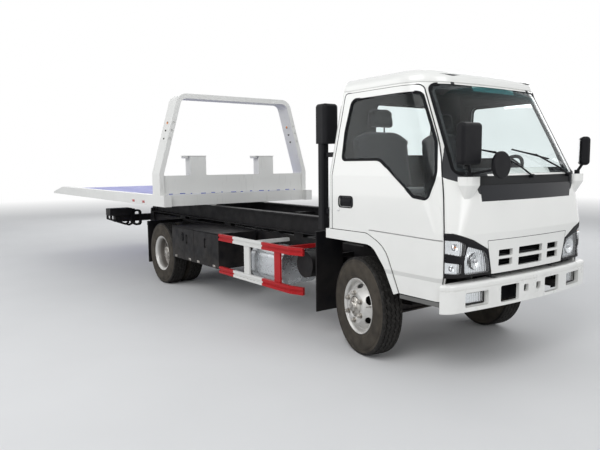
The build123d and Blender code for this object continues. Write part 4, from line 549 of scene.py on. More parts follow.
def plain_finishes():
    """Finishes with nothing but uneven colour, gloss and relief: colour and settings by name."""
    tone = colours()
    return {
        # White of the bumper and of its lamps' pockets
        "bumper_paint": (tone.cab, dict(rough=(0.26, 0.32), spread=0.015, coat=0.4, dust=0.12)),
        # Frame, boxes and everything welded to them
        "chassis_paint": (tone.chassis, dict(
            rough=(0.40, 0.60), spread=0.25, grain=140, relief=0.12, dust=0.12, gloss=0.12)),
        "cast_iron": (tinted(tone.chassis, 1.6), dict(
            rough=(0.6, 0.8), spread=0.3, grain=110, relief=0.4, dust=0.35, gloss=0.15)),
        "cylinder_paint": ((0.030, 0.030, 0.034), dict(
            rough=(0.22, 0.36), spread=0.15, grain=120, relief=0.05, coat=0.3, gloss=0.2)),
        "black_plastic": (tone.plastic, dict(
            rough=(0.42, 0.55), spread=0.15, grain=700, relief=0.22, dust=0.08, gloss=0.15)),
        "black_rubber": (tinted(tone.plastic, 0.8), dict(
            rough=(0.5, 0.65), spread=0.2, grain=260, relief=0.12, gloss=0.12)),
        # Unlit black, painted shade behind the grille, behind the bumper's holes and in the loop's bores;
        # also the latches' dark dishes
        "deep_black": ((0.004, 0.004, 0.005), dict(
            rough=(0.75, 0.9), spread=0.3, grain=200, relief=0.2, gloss=0.08)),
        "step_metal": ((0.17, 0.17, 0.165), dict(
            rough=(0.35, 0.55), spread=0.2, grain=150, relief=0.15, metal=0.3, gloss=0.2)),
        "bright_metal": ((0.62, 0.62, 0.63), dict(
            rough=(0.16, 0.30), spread=0.06, grain=240, relief=0.05, metal=1.0)),
        "mirror_glass": ((0.85, 0.86, 0.87), dict(rough=(0.02, 0.06), spread=0.02, relief=0.01, metal=1.0)),
        # Film left on the headboard plate
        "blue_film": ((0.06, 0.10, 0.42), dict(rough=(0.25, 0.40), spread=0.2)),
    }


LENS_COLOURS = {"amber_lens": (0.75, 0.22, 0.02), "red_lens": (0.42, 0.010, 0.010)}
MAKERS = [
    cab_paint, bed_paint, deck_film, tank_film, tyre_rubber, tread_rubber, rim_paint, hub_metal, strip_black,
    guard_paint, lamp_silver, clear_lens, window_glass, woven_cloth,
]
MADE = {}


def material(name):
    """The named material, made the first time it is asked for."""
    if name not in MADE:
        plain = plain_finishes()
        if name in plain:
            colour, settings = plain[name]
            MADE[name] = finish(name, colour, **settings).material
        elif name in LENS_COLOURS:
            MADE[name] = tinted_lens(name, LENS_COLOURS[name])
        else:
            MADE[name] = next(maker for maker in MAKERS if maker.__name__ == name)()
    return MADE[name]


NODE_MATERIALS = {
    "cab_paint": ["cab_shell", "cab_roof", "cab_front", "grille_panel", "wheel_arches", "door_left",
                  "door_right"],
    "bumper_paint": ["bumper"],
    "bed_paint": ["bed_frame", "headboard_loop", "headboard_panel"],
    "deck_film": ["bed_deck"],
    "tank_film": ["fuel_tank"],
    "tyre_rubber": ["front_tyre_left", "front_tyre_right", "rear_tyres_left", "rear_tyres_right"],
    "rim_paint": ["front_rim_left", "front_rim_right", "rear_rims_left", "rear_rims_right"],
    "guard_paint": ["side_guard_left", "side_guard_right"],
    "chassis_paint": ["chassis_frame", "leaf_springs", "exhaust", "tool_box_left", "tool_box_right",
                      "tool_door_front_left", "tool_door_front_right", "tool_door_rear_left",
                      "tool_door_rear_right", "sub_frame", "winch_frame", "winch_drum", "lift_boom",
                      "lift_crossbar"],
    "cast_iron": ["front_axle", "rear_axle", "engine_block", "knuckle_left", "knuckle_right"],
    "black_plastic": ["side_fittings", "mud_panels", "dashboard", "steering_wheel", "mirrors", "air_intake"],
    "strip_black": ["front_strip"],
    "step_metal": ["door_steps"],
    "cylinder_paint": ["slide_barrel", "tilt_barrels"],
    "bright_metal": ["slide_rod", "tilt_rods"],
    "clear_lens": ["road_lamps"],
    "black_rubber": ["headlamps"],
    "window_glass": ["cab_glass", "door_glass_left", "door_glass_right"],
    "woven_cloth": ["seats"],
}


# Modelling


def deselect():
    if bpy.context.mode != "OBJECT":
        bpy.ops.object.mode_set(mode="OBJECT")
    bpy.ops.object.select_all(action="DESELECT")


def only(obj):
    """Select one object and make it active."""
    deselect()
    obj.select_set(True)
    bpy.context.view_layer.objects.active = obj


def edit(obj):
    only(obj)
    bpy.ops.object.mode_set(mode="EDIT")


def leave_edit():
    bpy.ops.object.mode_set(mode="OBJECT")


def on_whole(obj, *steps):
    """Run edit-mode operators on a whole mesh, each given with its settings."""
    edit(obj)
    bpy.ops.mesh.select_all(action="SELECT")
    for operator, settings in steps:
        operator(**settings)
    leave_edit()


def spun(obj, steps, angle=2 * math.pi, center=(0, 0, 0), axis=(0, 1, 0), dupli=False):
    """Spin a whole drawn section about an axis."""
    on_whole(obj, (bpy.ops.mesh.spin, dict(steps=steps, angle=angle, center=center, axis=axis, dupli=dupli)))


def pushed(obj, way):
    """Extrude a whole drawn face along a vector and turn the faces out."""
    on_whole(obj, (bpy.ops.mesh.extrude_region_move, dict(TRANSFORM_OT_translate={"value": way})))
    outward(obj)


def delete(obj):
    only(obj)
    bpy.ops.object.delete()


def cut(obj, cutter):
    """Take a cutter's form out of a piece and delete the cutter."""
    modifier(obj, "BOOLEAN", object=cutter, operation="DIFFERENCE", solver="EXACT")
    delete(cutter)


def active(name):
    obj = bpy.context.active_object
    obj.name = name
    obj.data.name = name
    return obj


def modifier(obj, kind, **settings):
    """Add one modifier, set it and apply it."""
    only(obj)
    bpy.ops.object.modifier_add(type=kind)
    made = obj.modifiers[-1]
    for key, value in settings.items():
        setattr(made, key, value)
    bpy.ops.object.modifier_apply(modifier=made.name)


def bevel(obj, width, segments=2):
    modifier(obj, "BEVEL", width=width, segments=segments, limit_method="ANGLE", angle_limit=math.radians(30))


def box(name, low, high, round_by=0.0, segments=2):
    """A box between two corners, its edges rounded."""
    deselect()
    low, high = Vector(low), Vector(high)
    bpy.ops.mesh.primitive_cube_add(size=1, location=(low + high) / 2, scale=high - low)
    obj = active(name)
    bpy.ops.object.transform_apply()
    if round_by:
        bevel(obj, round_by, segments)
    return obj


def barrel(name, start, end, radius, sides=24, round_by=0.0):
    """A round bar between two points."""
    deselect()
    start, end = Vector(start), Vector(end)
    turn = (end - start).to_track_quat("Z", "Y").to_euler()
    bpy.ops.mesh.primitive_cylinder_add(
        vertices=sides, radius=radius, depth=(end - start).length, location=(start + end) / 2, rotation=turn)
    obj = active(name)
    bpy.ops.object.transform_apply()
    if round_by:
        bevel(obj, round_by)
    return obj


def drawn(name, points, closed=False, filled=False):
    """A line of edges, each vertex extruded from the last, closed to a ring or filled if asked."""
    deselect()
    bpy.ops.mesh.primitive_plane_add(size=0.001, location=points[0])
    obj = active(name)
    bpy.ops.object.transform_apply()
    bpy.ops.object.mode_set(mode="EDIT")
    bpy.ops.mesh.merge(type="CENTER")
    for before, after in zip(points, points[1:]):
        step = Vector(after) - Vector(before)
        bpy.ops.mesh.extrude_vertices_move(TRANSFORM_OT_translate={"value": step})
    if filled:
        bpy.ops.mesh.select_all(action="SELECT")
        bpy.ops.mesh.edge_face_add()
    elif closed:
        leave_edit()
        ends = (0, len(obj.data.vertices) - 1)
        for vertex in obj.data.vertices:
            vertex.select = vertex.index in ends
        for edge in obj.data.edges:
            edge.select = False
        bpy.ops.object.mode_set(mode="EDIT")
        bpy.ops.mesh.edge_face_add()
    leave_edit()
    return obj


def tube(name, points, radius, closed=False):
    """A round tube along a line of points."""
    obj = drawn(name, points, closed)
    only(obj)
    bpy.ops.object.convert(target="CURVE")
    curve = bpy.context.active_object.data
    curve.bevel_depth = radius
    curve.bevel_resolution = 3
    curve.use_fill_caps = True
    bpy.ops.object.convert(target="MESH")
    return active(name)


def oval_ring(centre, proud, half_width, half_height, count, radius):
    """An upright oval ring of round wire on a face that looks sideways."""
    points = []
    for n in range(count):
        turn = 2 * math.pi * n / count
        points.append(centre + Vector((half_width * math.cos(turn), proud, half_height * math.sin(turn))))
    return tube("ring", points, radius, closed=True)


def joined(name, parts):
    deselect()
    for part in parts:
        part.select_set(True)
    bpy.context.view_layer.objects.active = parts[0]
    if len(parts) > 1:
        bpy.ops.object.join()
    return active(name)


def copy_of(obj, name):
    only(obj)
    bpy.ops.object.duplicate()
    return active(name)


def outward(obj):
    """Merge what coincides and turn all faces out."""
    on_whole(obj, (bpy.ops.mesh.remove_doubles, dict(threshold=0.0001)),
             (bpy.ops.mesh.normals_make_consistent, dict(inside=False)))


def placed(obj, matrix):
    """Put a piece drawn at the origin in its place and fix it there."""
    obj.matrix_world = matrix
    only(obj)
    bpy.ops.object.transform_apply()
    if matrix.determinant() < 0:
        outward(obj)
    return obj


def ridden(obj, body, smooth=35.0):
    """Smooth a finished piece and give it its body."""
    only(obj)
    bpy.ops.object.shade_smooth_by_angle(angle=math.radians(smooth))
    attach(obj, body)
    return obj


def done(obj, body, look, smooth=35.0):
    """Give a finished piece its material and its body."""
    obj.data.materials.clear()
    obj.data.materials.append(material(look))
    return ridden(obj, body, smooth)


def arc_corner(before, corner, after, radius, steps=5):
    """Points of the arc that rounds one corner of a flat outline."""
    corner, before, after = Vector(corner), Vector(before), Vector(after)
    back, ahead = (before - corner).normalized(), (after - corner).normalized()
    if radius <= 0:
        return [corner]
    half = back.angle(ahead) / 2
    reach = radius / math.tan(half)
    centre = corner + (back + ahead).normalized() * radius / math.sin(half)
    first, last = corner + back * reach - centre, corner + ahead * reach - centre
    start = math.atan2(first.y, first.x)
    sweep = math.remainder(math.atan2(last.y, last.x) - start, 2 * math.pi)
    turns = [start + sweep * n / steps for n in range(steps + 1)]
    return [centre + radius * Vector((math.cos(turn), math.sin(turn))) for turn in turns]


def rounded(corners, radii):
    """A closed flat outline with its corners rounded."""
    points = []
    for n, corner in enumerate(corners):
        following = corners[(n + 1) % len(corners)]
        points += arc_corner(corners[n - 1], corner, following, radii[n])
    return points


def grown(points, amount):
    """A closed flat outline moved outwards all round, or inwards when amount is negative."""
    points = [Vector(p) for p in points]
    area = sum(a.x * b.y - b.x * a.y for a, b in zip(points, points[1:] + points[:1]))
    side = amount if area > 0 else -amount
    moved = []
    for n, point in enumerate(points):
        back = (point - points[n - 1]).normalized()
        ahead = (points[(n + 1) % len(points)] - point).normalized()
        across = Vector((back.y + ahead.y, -back.x - ahead.x)).normalized()
        spread = max(0.4, across.dot(Vector((back.y, -back.x))))
        moved.append(point + across * side / spread)
    return moved


def cast(start, direction, nodes, lift=0.0):
    """The first point of the CAD nodes along a ray, lifted back towards the ray's start."""
    start, direction = Vector(start), Vector(direction)
    depsgraph = bpy.context.evaluated_depsgraph_get()
    best = None
    for name in nodes:
        hit, where, normal, face = frame["nodes"][name].ray_cast(start, direction, depsgraph=depsgraph)
        if hit and (best is None or (where - start).length < (best - start).length):
            best = where
    if best is None:
        raise RuntimeError(f"no surface of {nodes} lies along {direction} from {start}")
    return best - direction * lift


def front_point(y, z, nodes, lift=0.0):
    return cast(at(3.0, y, z), (-1, 0, 0), nodes, lift)


def side_point(x, z, sign, node, lift=0.0):
    return cast(at(x, sign * 2, z), (0, -sign, 0), [node], lift)


def body_of(node):
    return frame["nodes"][node]["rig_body"]


def band(name, outer, inner, thickness):
    """A flat seal between two rings of as many points."""
    first = drawn(name, outer, closed=True)
    second = drawn(name + "_inner", inner, closed=True)
    obj = joined(name, [first, second])
    on_whole(obj, (bpy.ops.mesh.bridge_edge_loops, {}))
    modifier(obj, "SOLIDIFY", thickness=thickness, offset=0.0)
    outward(obj)
    bevel(obj, thickness * 0.3, 2)
    return obj


def drop_missed(obj):
    """Delete the vertices that found no surface and stayed in the drawing plane."""
    edit(obj)
    bpy.ops.mesh.select_all(action="DESELECT")
    leave_edit()
    for vertex in obj.data.vertices:
        vertex.select = vertex.co.x > at(1.5, 0, 0).x
    edit(obj)
    bpy.ops.mesh.delete(type="VERT")
    leave_edit()


def pane(name, outline, target, lift, thickness, pitch=0.006):
    """A sheet cut to a convex outline, seen from the front, and laid against a CAD surface."""
    centre = sum((Vector(p) for p in outline), Vector((0, 0))) / len(outline)
    reach = max((Vector(p) - centre).length for p in outline)
    count = int(2 * reach / pitch)
    deselect()
    bpy.ops.mesh.primitive_grid_add(
        x_subdivisions=count, y_subdivisions=count, size=2 * reach,
        location=at(1.6, *centre), rotation=(0, math.pi / 2, 0))
    obj = active(name)
    bpy.ops.object.transform_apply()
    bpy.ops.object.mode_set(mode="EDIT")
    for n, point in enumerate(outline):
        side = Vector(outline[(n + 1) % len(outline)]) - Vector(point)
        away = Vector((0, side.y, -side.x))
        if away.dot(Vector((0, *(centre - Vector(point))))) > 0:
            away.negate()
        bpy.ops.mesh.select_all(action="SELECT")
        bpy.ops.mesh.bisect(plane_co=at(1.6, *point), plane_no=away, clear_outer=True)
    leave_edit()
    modifier(obj, "SHRINKWRAP", target=frame["nodes"][target], wrap_method="PROJECT", use_project_x=True,
             use_negative_direction=True, use_positive_direction=False, offset=0.0)
    drop_missed(obj)
    for vertex in obj.data.vertices:
        vertex.co.x += lift
    on_whole(obj, (bpy.ops.mesh.normals_make_consistent, dict(inside=False)))
    if thickness:
        modifier(obj, "SOLIDIFY", thickness=thickness, offset=0.0)
        outward(obj)
    return obj


def flipped(points):
    return [(-y, z) for y, z in points]


# Wheels


def tyre_section():
    """Closed section of a tyre, as distance along the axle and radius."""
    size = sizes()
    half, radius, bead = size.tyre_width / 2, size.tyre_radius, size.flange_radius
    wall = [
        (0.072, bead - 0.014), (0.078, bead + 0.001), (0.087, bead + 0.006), (half - 0.005, bead + 0.024),
        (half - 0.002, bead + 0.028), (half - 0.003, bead + 0.032), (half, radius - 0.095),
        (half, radius - 0.070), (half - 0.004, radius - 0.042), (half - 0.007, radius - 0.040),
        (half - 0.008, radius - 0.020), (half - 0.014, radius - 0.003),
    ]
    crown = []
    wide, deep = size.groove_width / 2, size.groove_depth
    for y in (0.056, 0.019, -0.019, -0.056):
        crown += [(y + wide, radius), (y + wide * 0.6, radius - deep)]
        crown += [(y - wide * 0.6, radius - deep), (y - wide, radius)]
    lining = [(-0.060, bead - 0.004), (-half + 0.020, radius - 0.090), (-0.060, radius - 0.030),
              (0.060, radius - 0.030), (half - 0.020, radius - 0.090), (0.060, bead - 0.004)]
    return wall + crown + [(-y, r) for y, r in reversed(wall)] + lining


def make_tyre(name):
    """One tyre about the Y axis: a pitch of tread with bent grooves, copied round."""
    size = sizes()
    pitch = 2 * math.pi / size.tread_pitches
    obj = drawn(name, [(r, y, 0) for y, r in tyre_section()], closed=True)
    spun(obj, 2, pitch)
    tread = size.tyre_radius - size.groove_depth - 0.002
    edge = size.tyre_width / 2 - 0.030
    zigzag = size.groove_width * 0.75
    for vertex in obj.data.vertices:
        turn = abs(math.atan2(vertex.co.z, vertex.co.x))
        middle = abs(turn - pitch / 2) < pitch / 8
        if math.hypot(vertex.co.x, vertex.co.z) > tread and abs(vertex.co.y) < edge:
            vertex.co.y += zigzag if middle else -zigzag
    cut_shoulders(obj, pitch)
    steps = size.tread_pitches - 1
    spun(obj, steps, pitch * steps, dupli=True)
    outward(obj)
    return obj


def cut_shoulders(obj, pitch):
    """Press a notch into each shoulder of one pitch of tread."""
    size = sizes()
    edit(obj)
    bpy.ops.mesh.select_all(action="DESELECT")
    leave_edit()
    for face in obj.data.polygons:
        radius = math.hypot(face.center.x, face.center.z)
        turn = abs(math.atan2(face.center.z, face.center.x))
        on_shoulder = size.tyre_radius - 0.030 < radius < size.tyre_radius - 0.012
        face.select = on_shoulder and abs(face.center.y) > 0.07 and turn < pitch / 2
    edit(obj)
    bpy.ops.mesh.inset(thickness=0.003, use_individual=True)
    bpy.ops.transform.resize(value=(0.988, 0.96, 0.988), center_override=(0, 0, 0))
    leave_edit()


def wheel_places():
    """Each wheel: side, end, and the matrix that takes a wheel drawn with its outside towards +Y there."""
    out = []
    for side, sign in SIDES:
        steer = Matrix.Rotation(STEER_ANGLE, 4, "Z")
        flip = Matrix.Diagonal((1, sign, 1, 1))
        centre = at(sign * FRONT_WHEEL[0], sign * FRONT_WHEEL[1], WHEEL_HEIGHT)
        out.append((side, "front", Matrix.Translation(centre) @ steer @ flip))
        centre = at(-WHEELBASE, sign * REAR_WHEEL_Y, WHEEL_HEIGHT)
        out.append((side, "rear", Matrix.Translation(centre) @ flip))
    return out


class TowTruckTyres(bpy.types.Operator):
    """Tyres with zigzag grooves and notched shoulders"""
    bl_idname = "tow_truck.tyres"
    bl_label = "Tyres"
    bl_options = {"REGISTER", "UNDO"}

    def execute(self, context):
        pattern = make_tyre("tyre_pattern")
        tread = sizes().tyre_radius - 0.022
        pattern.data.materials.append(material("tyre_rubber"))
        pattern.data.materials.append(material("tread_rubber"))
        for face in pattern.data.polygons:
            face.material_index = math.hypot(face.center.x, face.center.z) > tread
        for side, end, matrix in wheel_places():
            if end == "front":
                tyre = placed(copy_of(pattern, f"tread_front_{side}"), matrix)
                node = f"front_tyre_{side}"
            else:
                twins = []
                for place in (-0.5, 0.5):
                    shift = Matrix.Translation((0, place * TWIN_SPACING, 0))
                    twins.append(placed(copy_of(pattern, "twin"), matrix @ shift))
                tyre = joined(f"tread_rear_{side}", twins)
                node = f"rear_tyres_{side}"
            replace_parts(ridden(tyre, body_of(node), 50), node)
        delete(pattern)
        return {"FINISHED"}


RIM_FACE = 0.113
HAND_HOLES = 6
FIRST_HOLE = math.radians(34)


def rim_section():
    """Closed section of a pressed steel wheel, as distance along the axle and radius."""
    face = RIM_FACE
    outside = [
        (0.077, 0.2250), (0.081, 0.2275), (0.086, 0.2270), (0.0875, 0.2230), (0.083, 0.2150), (0.078, 0.2080),
        (0.072, 0.2030), (0.060, 0.2000), (0.050, 0.1985), (0.045, 0.1950), (0.046, 0.1890), (0.053, 0.1840),
        (face - 0.024, 0.1520), (face - 0.010, 0.1420), (face - 0.002, 0.1350), (face, 0.1280),
        (face, 0.0900), (face - 0.003, 0.0840),
    ]
    inside = [
        (face - 0.010, 0.0820), (face - 0.010, 0.1260), (face - 0.018, 0.1360), (face - 0.033, 0.1450),
        (0.040, 0.1810), (0.034, 0.1880), (0.030, 0.1930), (-0.060, 0.1950), (-0.070, 0.2000),
        (-0.078, 0.2110), (-0.086, 0.2250), (-0.082, 0.2275), (-0.077, 0.2250), (-0.070, 0.2100),
        (-0.062, 0.2030), (0.060, 0.2050), (0.069, 0.2100),
    ]
    return outside + inside


def make_rim(name):
    """One wheel about the Y axis with its hand holes cut through the slope of the disc."""
    obj = drawn(name, [(r, y, 0) for y, r in rim_section()], closed=True)
    spun(obj, 96)
    outward(obj)
    cutters = []
    for n in range(HAND_HOLES):
        turn = Matrix.Rotation(FIRST_HOLE + 2 * math.pi * n / HAND_HOLES, 4, "Y")
        deselect()
        bpy.ops.mesh.primitive_cylinder_add(vertices=40, radius=1, depth=0.12)
        hole = active("hole")
        hole.scale = (0.037, 0.025, 1.0)
        only(hole)
        bpy.ops.object.transform_apply()
        tilt = Matrix.Rotation(math.radians(50), 4, "Z") @ Matrix.Rotation(math.radians(90), 4, "Y")
        cutters.append(placed(hole, turn @ Matrix.Translation((0.168, 0.072, 0)) @ tilt))
    cutter = joined("cutter", cutters)
    cut(obj, cutter)
    outward(obj)
    bevel(obj, 0.0012, 2)
    return obj


def make_hub(name, profile):
    """A hub spun from (y, r) points about the Y axis."""
    obj = drawn(name, [(r, y, 0) for y, r in profile])
    spun(obj, 64)
    outward(obj)
    return obj


FRONT_HUB = [
    (0.060, 0.0), (0.060, 0.080), (0.098, 0.080), (0.110, 0.076), (0.114, 0.068), (0.118, 0.062),
    (0.124, 0.058), (0.126, 0.052), (0.126, 0.044), (0.129, 0.042), (0.138, 0.040), (0.142, 0.034),
    (0.143, 0.0),
]
REAR_HUB = [
    (-0.160, 0.0), (-0.160, 0.100), (-0.040, 0.086), (0.012, 0.080), (0.030, 0.072), (0.110, 0.064),
    (0.120, 0.062), (0.126, 0.076), (0.138, 0.076), (0.140, 0.072), (0.140, 0.040), (0.150, 0.036),
    (0.152, 0.0),
]
FRONT_DRUM = [
    (0.030, 0.0), (0.030, 0.135), (0.022, 0.146), (-0.004, 0.149), (-0.008, 0.155), (-0.020, 0.155),
    (-0.024, 0.149), (-0.066, 0.149), (-0.070, 0.140), (-0.070, 0.0),
]
REAR_DRUM = [
    (-0.060, 0.0), (-0.060, 0.148), (-0.070, 0.162), (-0.110, 0.164), (-0.114, 0.170), (-0.124, 0.170),
    (-0.128, 0.164), (-0.180, 0.164), (-0.185, 0.150), (-0.185, 0.0),
]


class TowTruckRims(bpy.types.Operator):
    """Pressed steel wheels with hand holes, hubs and brake drums"""
    bl_idname = "tow_truck.rims"
    bl_label = "Rims"
    bl_options = {"REGISTER", "UNDO"}

    def execute(self, context):
        pattern = make_rim("rim_pattern")
        for side, end, matrix in wheel_places():
            if end == "front":
                rim = placed(copy_of(pattern, f"wheel_front_{side}"), matrix)
                node = f"front_rim_{side}"
                hub = make_hub(f"hub_front_{side}", FRONT_HUB)
                drum = make_hub(f"drum_front_{side}", FRONT_DRUM)
            else:
                half = TWIN_SPACING / 2
                turned = Matrix.Diagonal((1, -1, 1, 1))
                outer = placed(copy_of(pattern, "twin"), matrix @ Matrix.Translation((0, half, 0)) @ turned)
                inner = placed(copy_of(pattern, "twin"), matrix @ Matrix.Translation((0, -half, 0)))
                rim = joined(f"wheels_rear_{side}", [outer, inner])
                node = f"rear_rims_{side}"
                hub = make_hub(f"hub_rear_{side}", REAR_HUB)
                drum = make_hub(f"drum_rear_{side}", REAR_DRUM)
            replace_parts(done(rim, body_of(node), "rim_paint", 30), node)
            done(placed(hub, matrix), body_of(node), "hub_metal", 30)
            done(placed(drum, matrix), body_of(node), "cast_iron", 30)
        delete(pattern)
        return {"FINISHED"}


def ring_of(obj, count, radius, first=0.0):
    """Copies of one piece, drawn at the axle, set round it and joined."""
    copies = []
    for n in range(count):
        turn = Matrix.Rotation(first + 2 * math.pi * n / count, 4, "Y")
        copies.append(placed(copy_of(obj, "copy"), turn @ Matrix.Translation((radius, 0, 0))))
    delete(obj)
    return joined("ring", copies)


def make_nut(y):
    """A hexagon nut on its washer, with the stud's end."""
    size = sizes().nut_size
    nut = barrel("nut", (0, y, 0), (0, y + size * 1.3, 0), size, 6, size * 0.12)
    washer = barrel("washer", (0, y - 0.002, 0), (0, y + 0.003, 0), size * 1.25, 20, 0.001)
    stud = barrel("stud", (0, y, 0), (0, y + size * 1.8, 0), size * 0.5, 16, 0.002)
    return joined("nut", [nut, washer, stud])


class TowTruckWheelFittings(bpy.types.Operator):
    """Nuts, hub bolts and valves of the wheels"""
    bl_idname = "tow_truck.wheel_fittings"
    bl_label = "Wheel fittings"
    bl_options = {"REGISTER", "UNDO"}

    def execute(self, context):
        for side, end, matrix in wheel_places():
            face = RIM_FACE if end == "front" else 0.010
            nuts = ring_of(make_nut(face), 6, 0.111, math.radians(30))
            count, ring, seat = (4, 0.050, 0.122) if end == "front" else (8, 0.060, 0.138)
            bolts = ring_of(barrel("bolt", (0, seat, 0), (0, seat + 0.012, 0), 0.008, 6, 0.001), count, ring)
            stem = 0.062 if end == "front" else TWIN_SPACING / 2 + 0.04
            line = [(0.188, stem, 0.03), (0.180, stem + 0.02, 0.03), (0.180, stem + 0.05, 0.03)]
            valve = tube("valve", line, 0.004)
            fittings = placed(joined(f"wheel_nuts_{end}_{side}", [nuts, bolts, valve]), matrix)
            node = f"front_rim_{side}" if end == "front" else f"rear_rims_{side}"
            done(fittings, body_of(node), "hub_metal")
        return {"FINISHED"}


# Windows


class TowTruckSeals(bpy.types.Operator):
    """Rubber seals of the windscreen, the rear window and the door windows"""
    bl_idname = "tow_truck.seals"
    bl_label = "Window seals"
    bl_options = {"REGISTER", "UNDO"}

    def execute(self, context):
        lip, width = sizes().seal_lip, sizes().seal_width
        shade_screen = rounded(SCREEN_CORNERS, SCREEN_RADII)
        outer = [front_point(*p, ["cab_shell", "cab_front", "cab_roof"], 0.004) for p in grown(shade_screen, lip)]
        inner = [front_point(*p, ["cab_glass"], 0.006) for p in grown(shade_screen, -width)]
        done(band("screen_seal", outer, inner, 0.006), "cab", "black_rubber")
        rear = rounded(REAR_WINDOW_CORNERS, [0.06] * 4)
        outer = [cast(at(-2, *p), (1, 0, 0), ["cab_shell"], 0.001) for p in grown(rear, lip)]
        inner = [cast(at(-2, *p), (1, 0, 0), ["cab_glass"], 0.003) for p in grown(rear, -width)]
        done(band("rear_window_seal", outer, inner, 0.006), "cab", "black_rubber")
        side = rounded([p[:2] for p in SIDE_WINDOW], [p[2] for p in SIDE_WINDOW])
        for name, sign in SIDES:
            door, glass = f"door_{name}", f"door_glass_{name}"
            outer = [side_point(*p, sign, door, 0.001) for p in grown(side, lip * 0.8)]
            inner = [side_point(*p, sign, glass, 0.003) for p in grown(side, -width)]
            done(band(f"door_seal_{name}", outer, inner, 0.006), body_of(door), "black_rubber")
        return {"FINISHED"}


class TowTruckSeams(bpy.types.Operator):
    """Dark rubber in the gaps round the doors and the grille panel"""
    bl_idname = "tow_truck.seams"
    bl_label = "Panel gaps"
    bl_options = {"REGISTER", "UNDO"}

    def execute(self, context):
        edge = rounded([p[:2] for p in DOOR_EDGE], [p[2] for p in DOOR_EDGE])
        for name, sign in SIDES:
            line = []
            for within, gap in zip(grown(edge, -0.004), grown(edge, SEAM_RADIUS)):
                panel = side_point(*within, sign, f"door_{name}", -0.0015)
                line.append(at(gap.x, panel.y, gap.y))
            done(tube(f"door_gap_{name}", line, SEAM_RADIUS, closed=True), "cab", "black_rubber")
        line = []
        corners = GRILLE_EDGE[1:] + GRILLE_EDGE[:1]
        for within, gap in list(zip(grown(corners, -0.012), grown(corners, 0.002)))[1:-1]:
            panel = front_point(*within, ["grille_panel"], -0.0025)
            line.append(Vector((panel.x, gap.x, gap.y)))
        top = line.index(max(line, key=lambda p: (p.z, p.y)))
        for n in range(1, 9):
            y = line[top].y * (1 - n / 4.5)
            panel = front_point(y, GRILLE_EDGE[4][1] - 0.012, ["grille_panel"], -0.0025)
            line.insert(top + n, Vector((panel.x, y, line[top].z)))
        done(tube("grille_gap", line, 0.0026), "cab", "black_rubber")
        return {"FINISHED"}


class TowTruckWipers(bpy.types.Operator):
    """Wiper arms and blades on the windscreen"""
    bl_idname = "tow_truck.wipers"
    bl_label = "Wipers"
    bl_options = {"REGISTER", "UNDO"}

    def execute(self, context):
        wide = sizes().wiper_width
        parts = []
        for pivot, tip, heel in WIPERS:
            base = front_point(*pivot, ["cab_glass", "cab_shell", "cab_front", "front_strip"], 0.022)
            places = [Vector(tip).lerp(Vector(heel), n / 6) for n in range(7)]
            blade = [front_point(*place, ["cab_glass"], 0.012) for place in places]
            grip = (blade[3] + blade[4]) / 2 + Vector((0.018, 0, 0.006))
            knee = base.lerp(grip, 0.35) + Vector((0.010, 0, 0.006))
            front = base + Vector((0.012, 0, 0))
            parts.append(barrel("boss", base - Vector((0.03, 0, 0)), front, wide, 20, 0.003))
            parts.append(tube("arm", [base, knee, grip], wide * 0.45))
            parts.append(tube("spine", [p + Vector((0.008, 0, 0.003)) for p in blade], wide * 0.30))
            parts.append(tube("rubber", blade, wide * 0.22))
            for n in (1, 5):
                parts.append(tube("claw", [grip, blade[n] + Vector((0.008, 0, 0.003))], wide * 0.2))
        done(joined("wipers", parts), "cab", "black_plastic")
        return {"FINISHED"}


# Lamps


def lamp_cutter(outline):
    """A prism that runs back through the lamp's front from a window outline."""
    obj = drawn("cutter", [at(1.2, *p) for p in outline], filled=True)
    pushed(obj, (-1.0, 0, 0))
    return obj


def softened(outline, radius=0.012):
    return [tuple(p) for p in rounded(outline, [radius] * len(outline))]


class TowTruckHeadlamps(bpy.types.Operator):
    """Headlamp housings with their reflectors, bulbs and lenses"""
    bl_idname = "tow_truck.headlamps"
    bl_label = "Headlamps"
    bl_options = {"REGISTER", "UNDO"}

    def execute(self, context):
        housing = copy_of(frame["nodes"]["headlamps"], "headlamp_housings")
        housing.parent = None
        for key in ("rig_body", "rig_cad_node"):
            del housing[key]
        outward(housing)
        for name, outline in LAMP_WINDOWS.items():
            for side, points in (("left", outline), ("right", flipped(outline))):
                window = softened(points)
                cut(housing, lamp_cutter(window))
                self.fill(name, side, window)
        outward(housing)
        bevel(housing, 0.0015, 2)
        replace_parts(done(housing, "cab", "black_plastic"), "headlamps")
        return {"FINISHED"}

    def fill(self, name, side, window):
        outline = [tuple(p) for p in grown(window, 0.004)]
        done(pane(f"{name}_reflector_{side}", outline, "headlamps", -0.020, 0.001), "cab", "lamp_silver")
        outline = [tuple(p) for p in grown(window, -0.001)]
        done(pane(f"{name}_lens_{side}", outline, "headlamps", -0.002, 0.002), "cab", "clear_lens")
        centre = sum((Vector(p) for p in window), Vector((0, 0))) / len(window)
        seat = front_point(*centre, ["headlamps"], -0.019)
        radius = {"main": 0.060, "indicator": 0.024, "side": 0.018}[name]
        self.bowl(f"{name}_bowl_{side}", seat, radius)
        look = "amber_lens" if name == "indicator" else "bright_metal"
        bulb = barrel(f"{name}_bulb_{side}", seat, seat + Vector((0.012, 0, 0)), radius * 0.28, 20, 0.003)
        done(bulb, "cab", look)

    def bowl(self, name, seat, radius):
        """A round dish about the bulb: a stepped ring spun about the way ahead."""
        section = [(0.000, 0.30), (0.004, 0.42), (0.009, 0.80), (0.010, 1.00), (0.007, 1.02), (0.001, 1.04)]
        obj = drawn(name, [seat + Vector((x, 0, radius * r)) for x, r in section])
        spun(obj, 32, center=seat, axis=(1, 0, 0))
        outward(obj)
        modifier(obj, "SOLIDIFY", thickness=0.001, offset=0.0)
        done(obj, "cab", "lamp_silver")


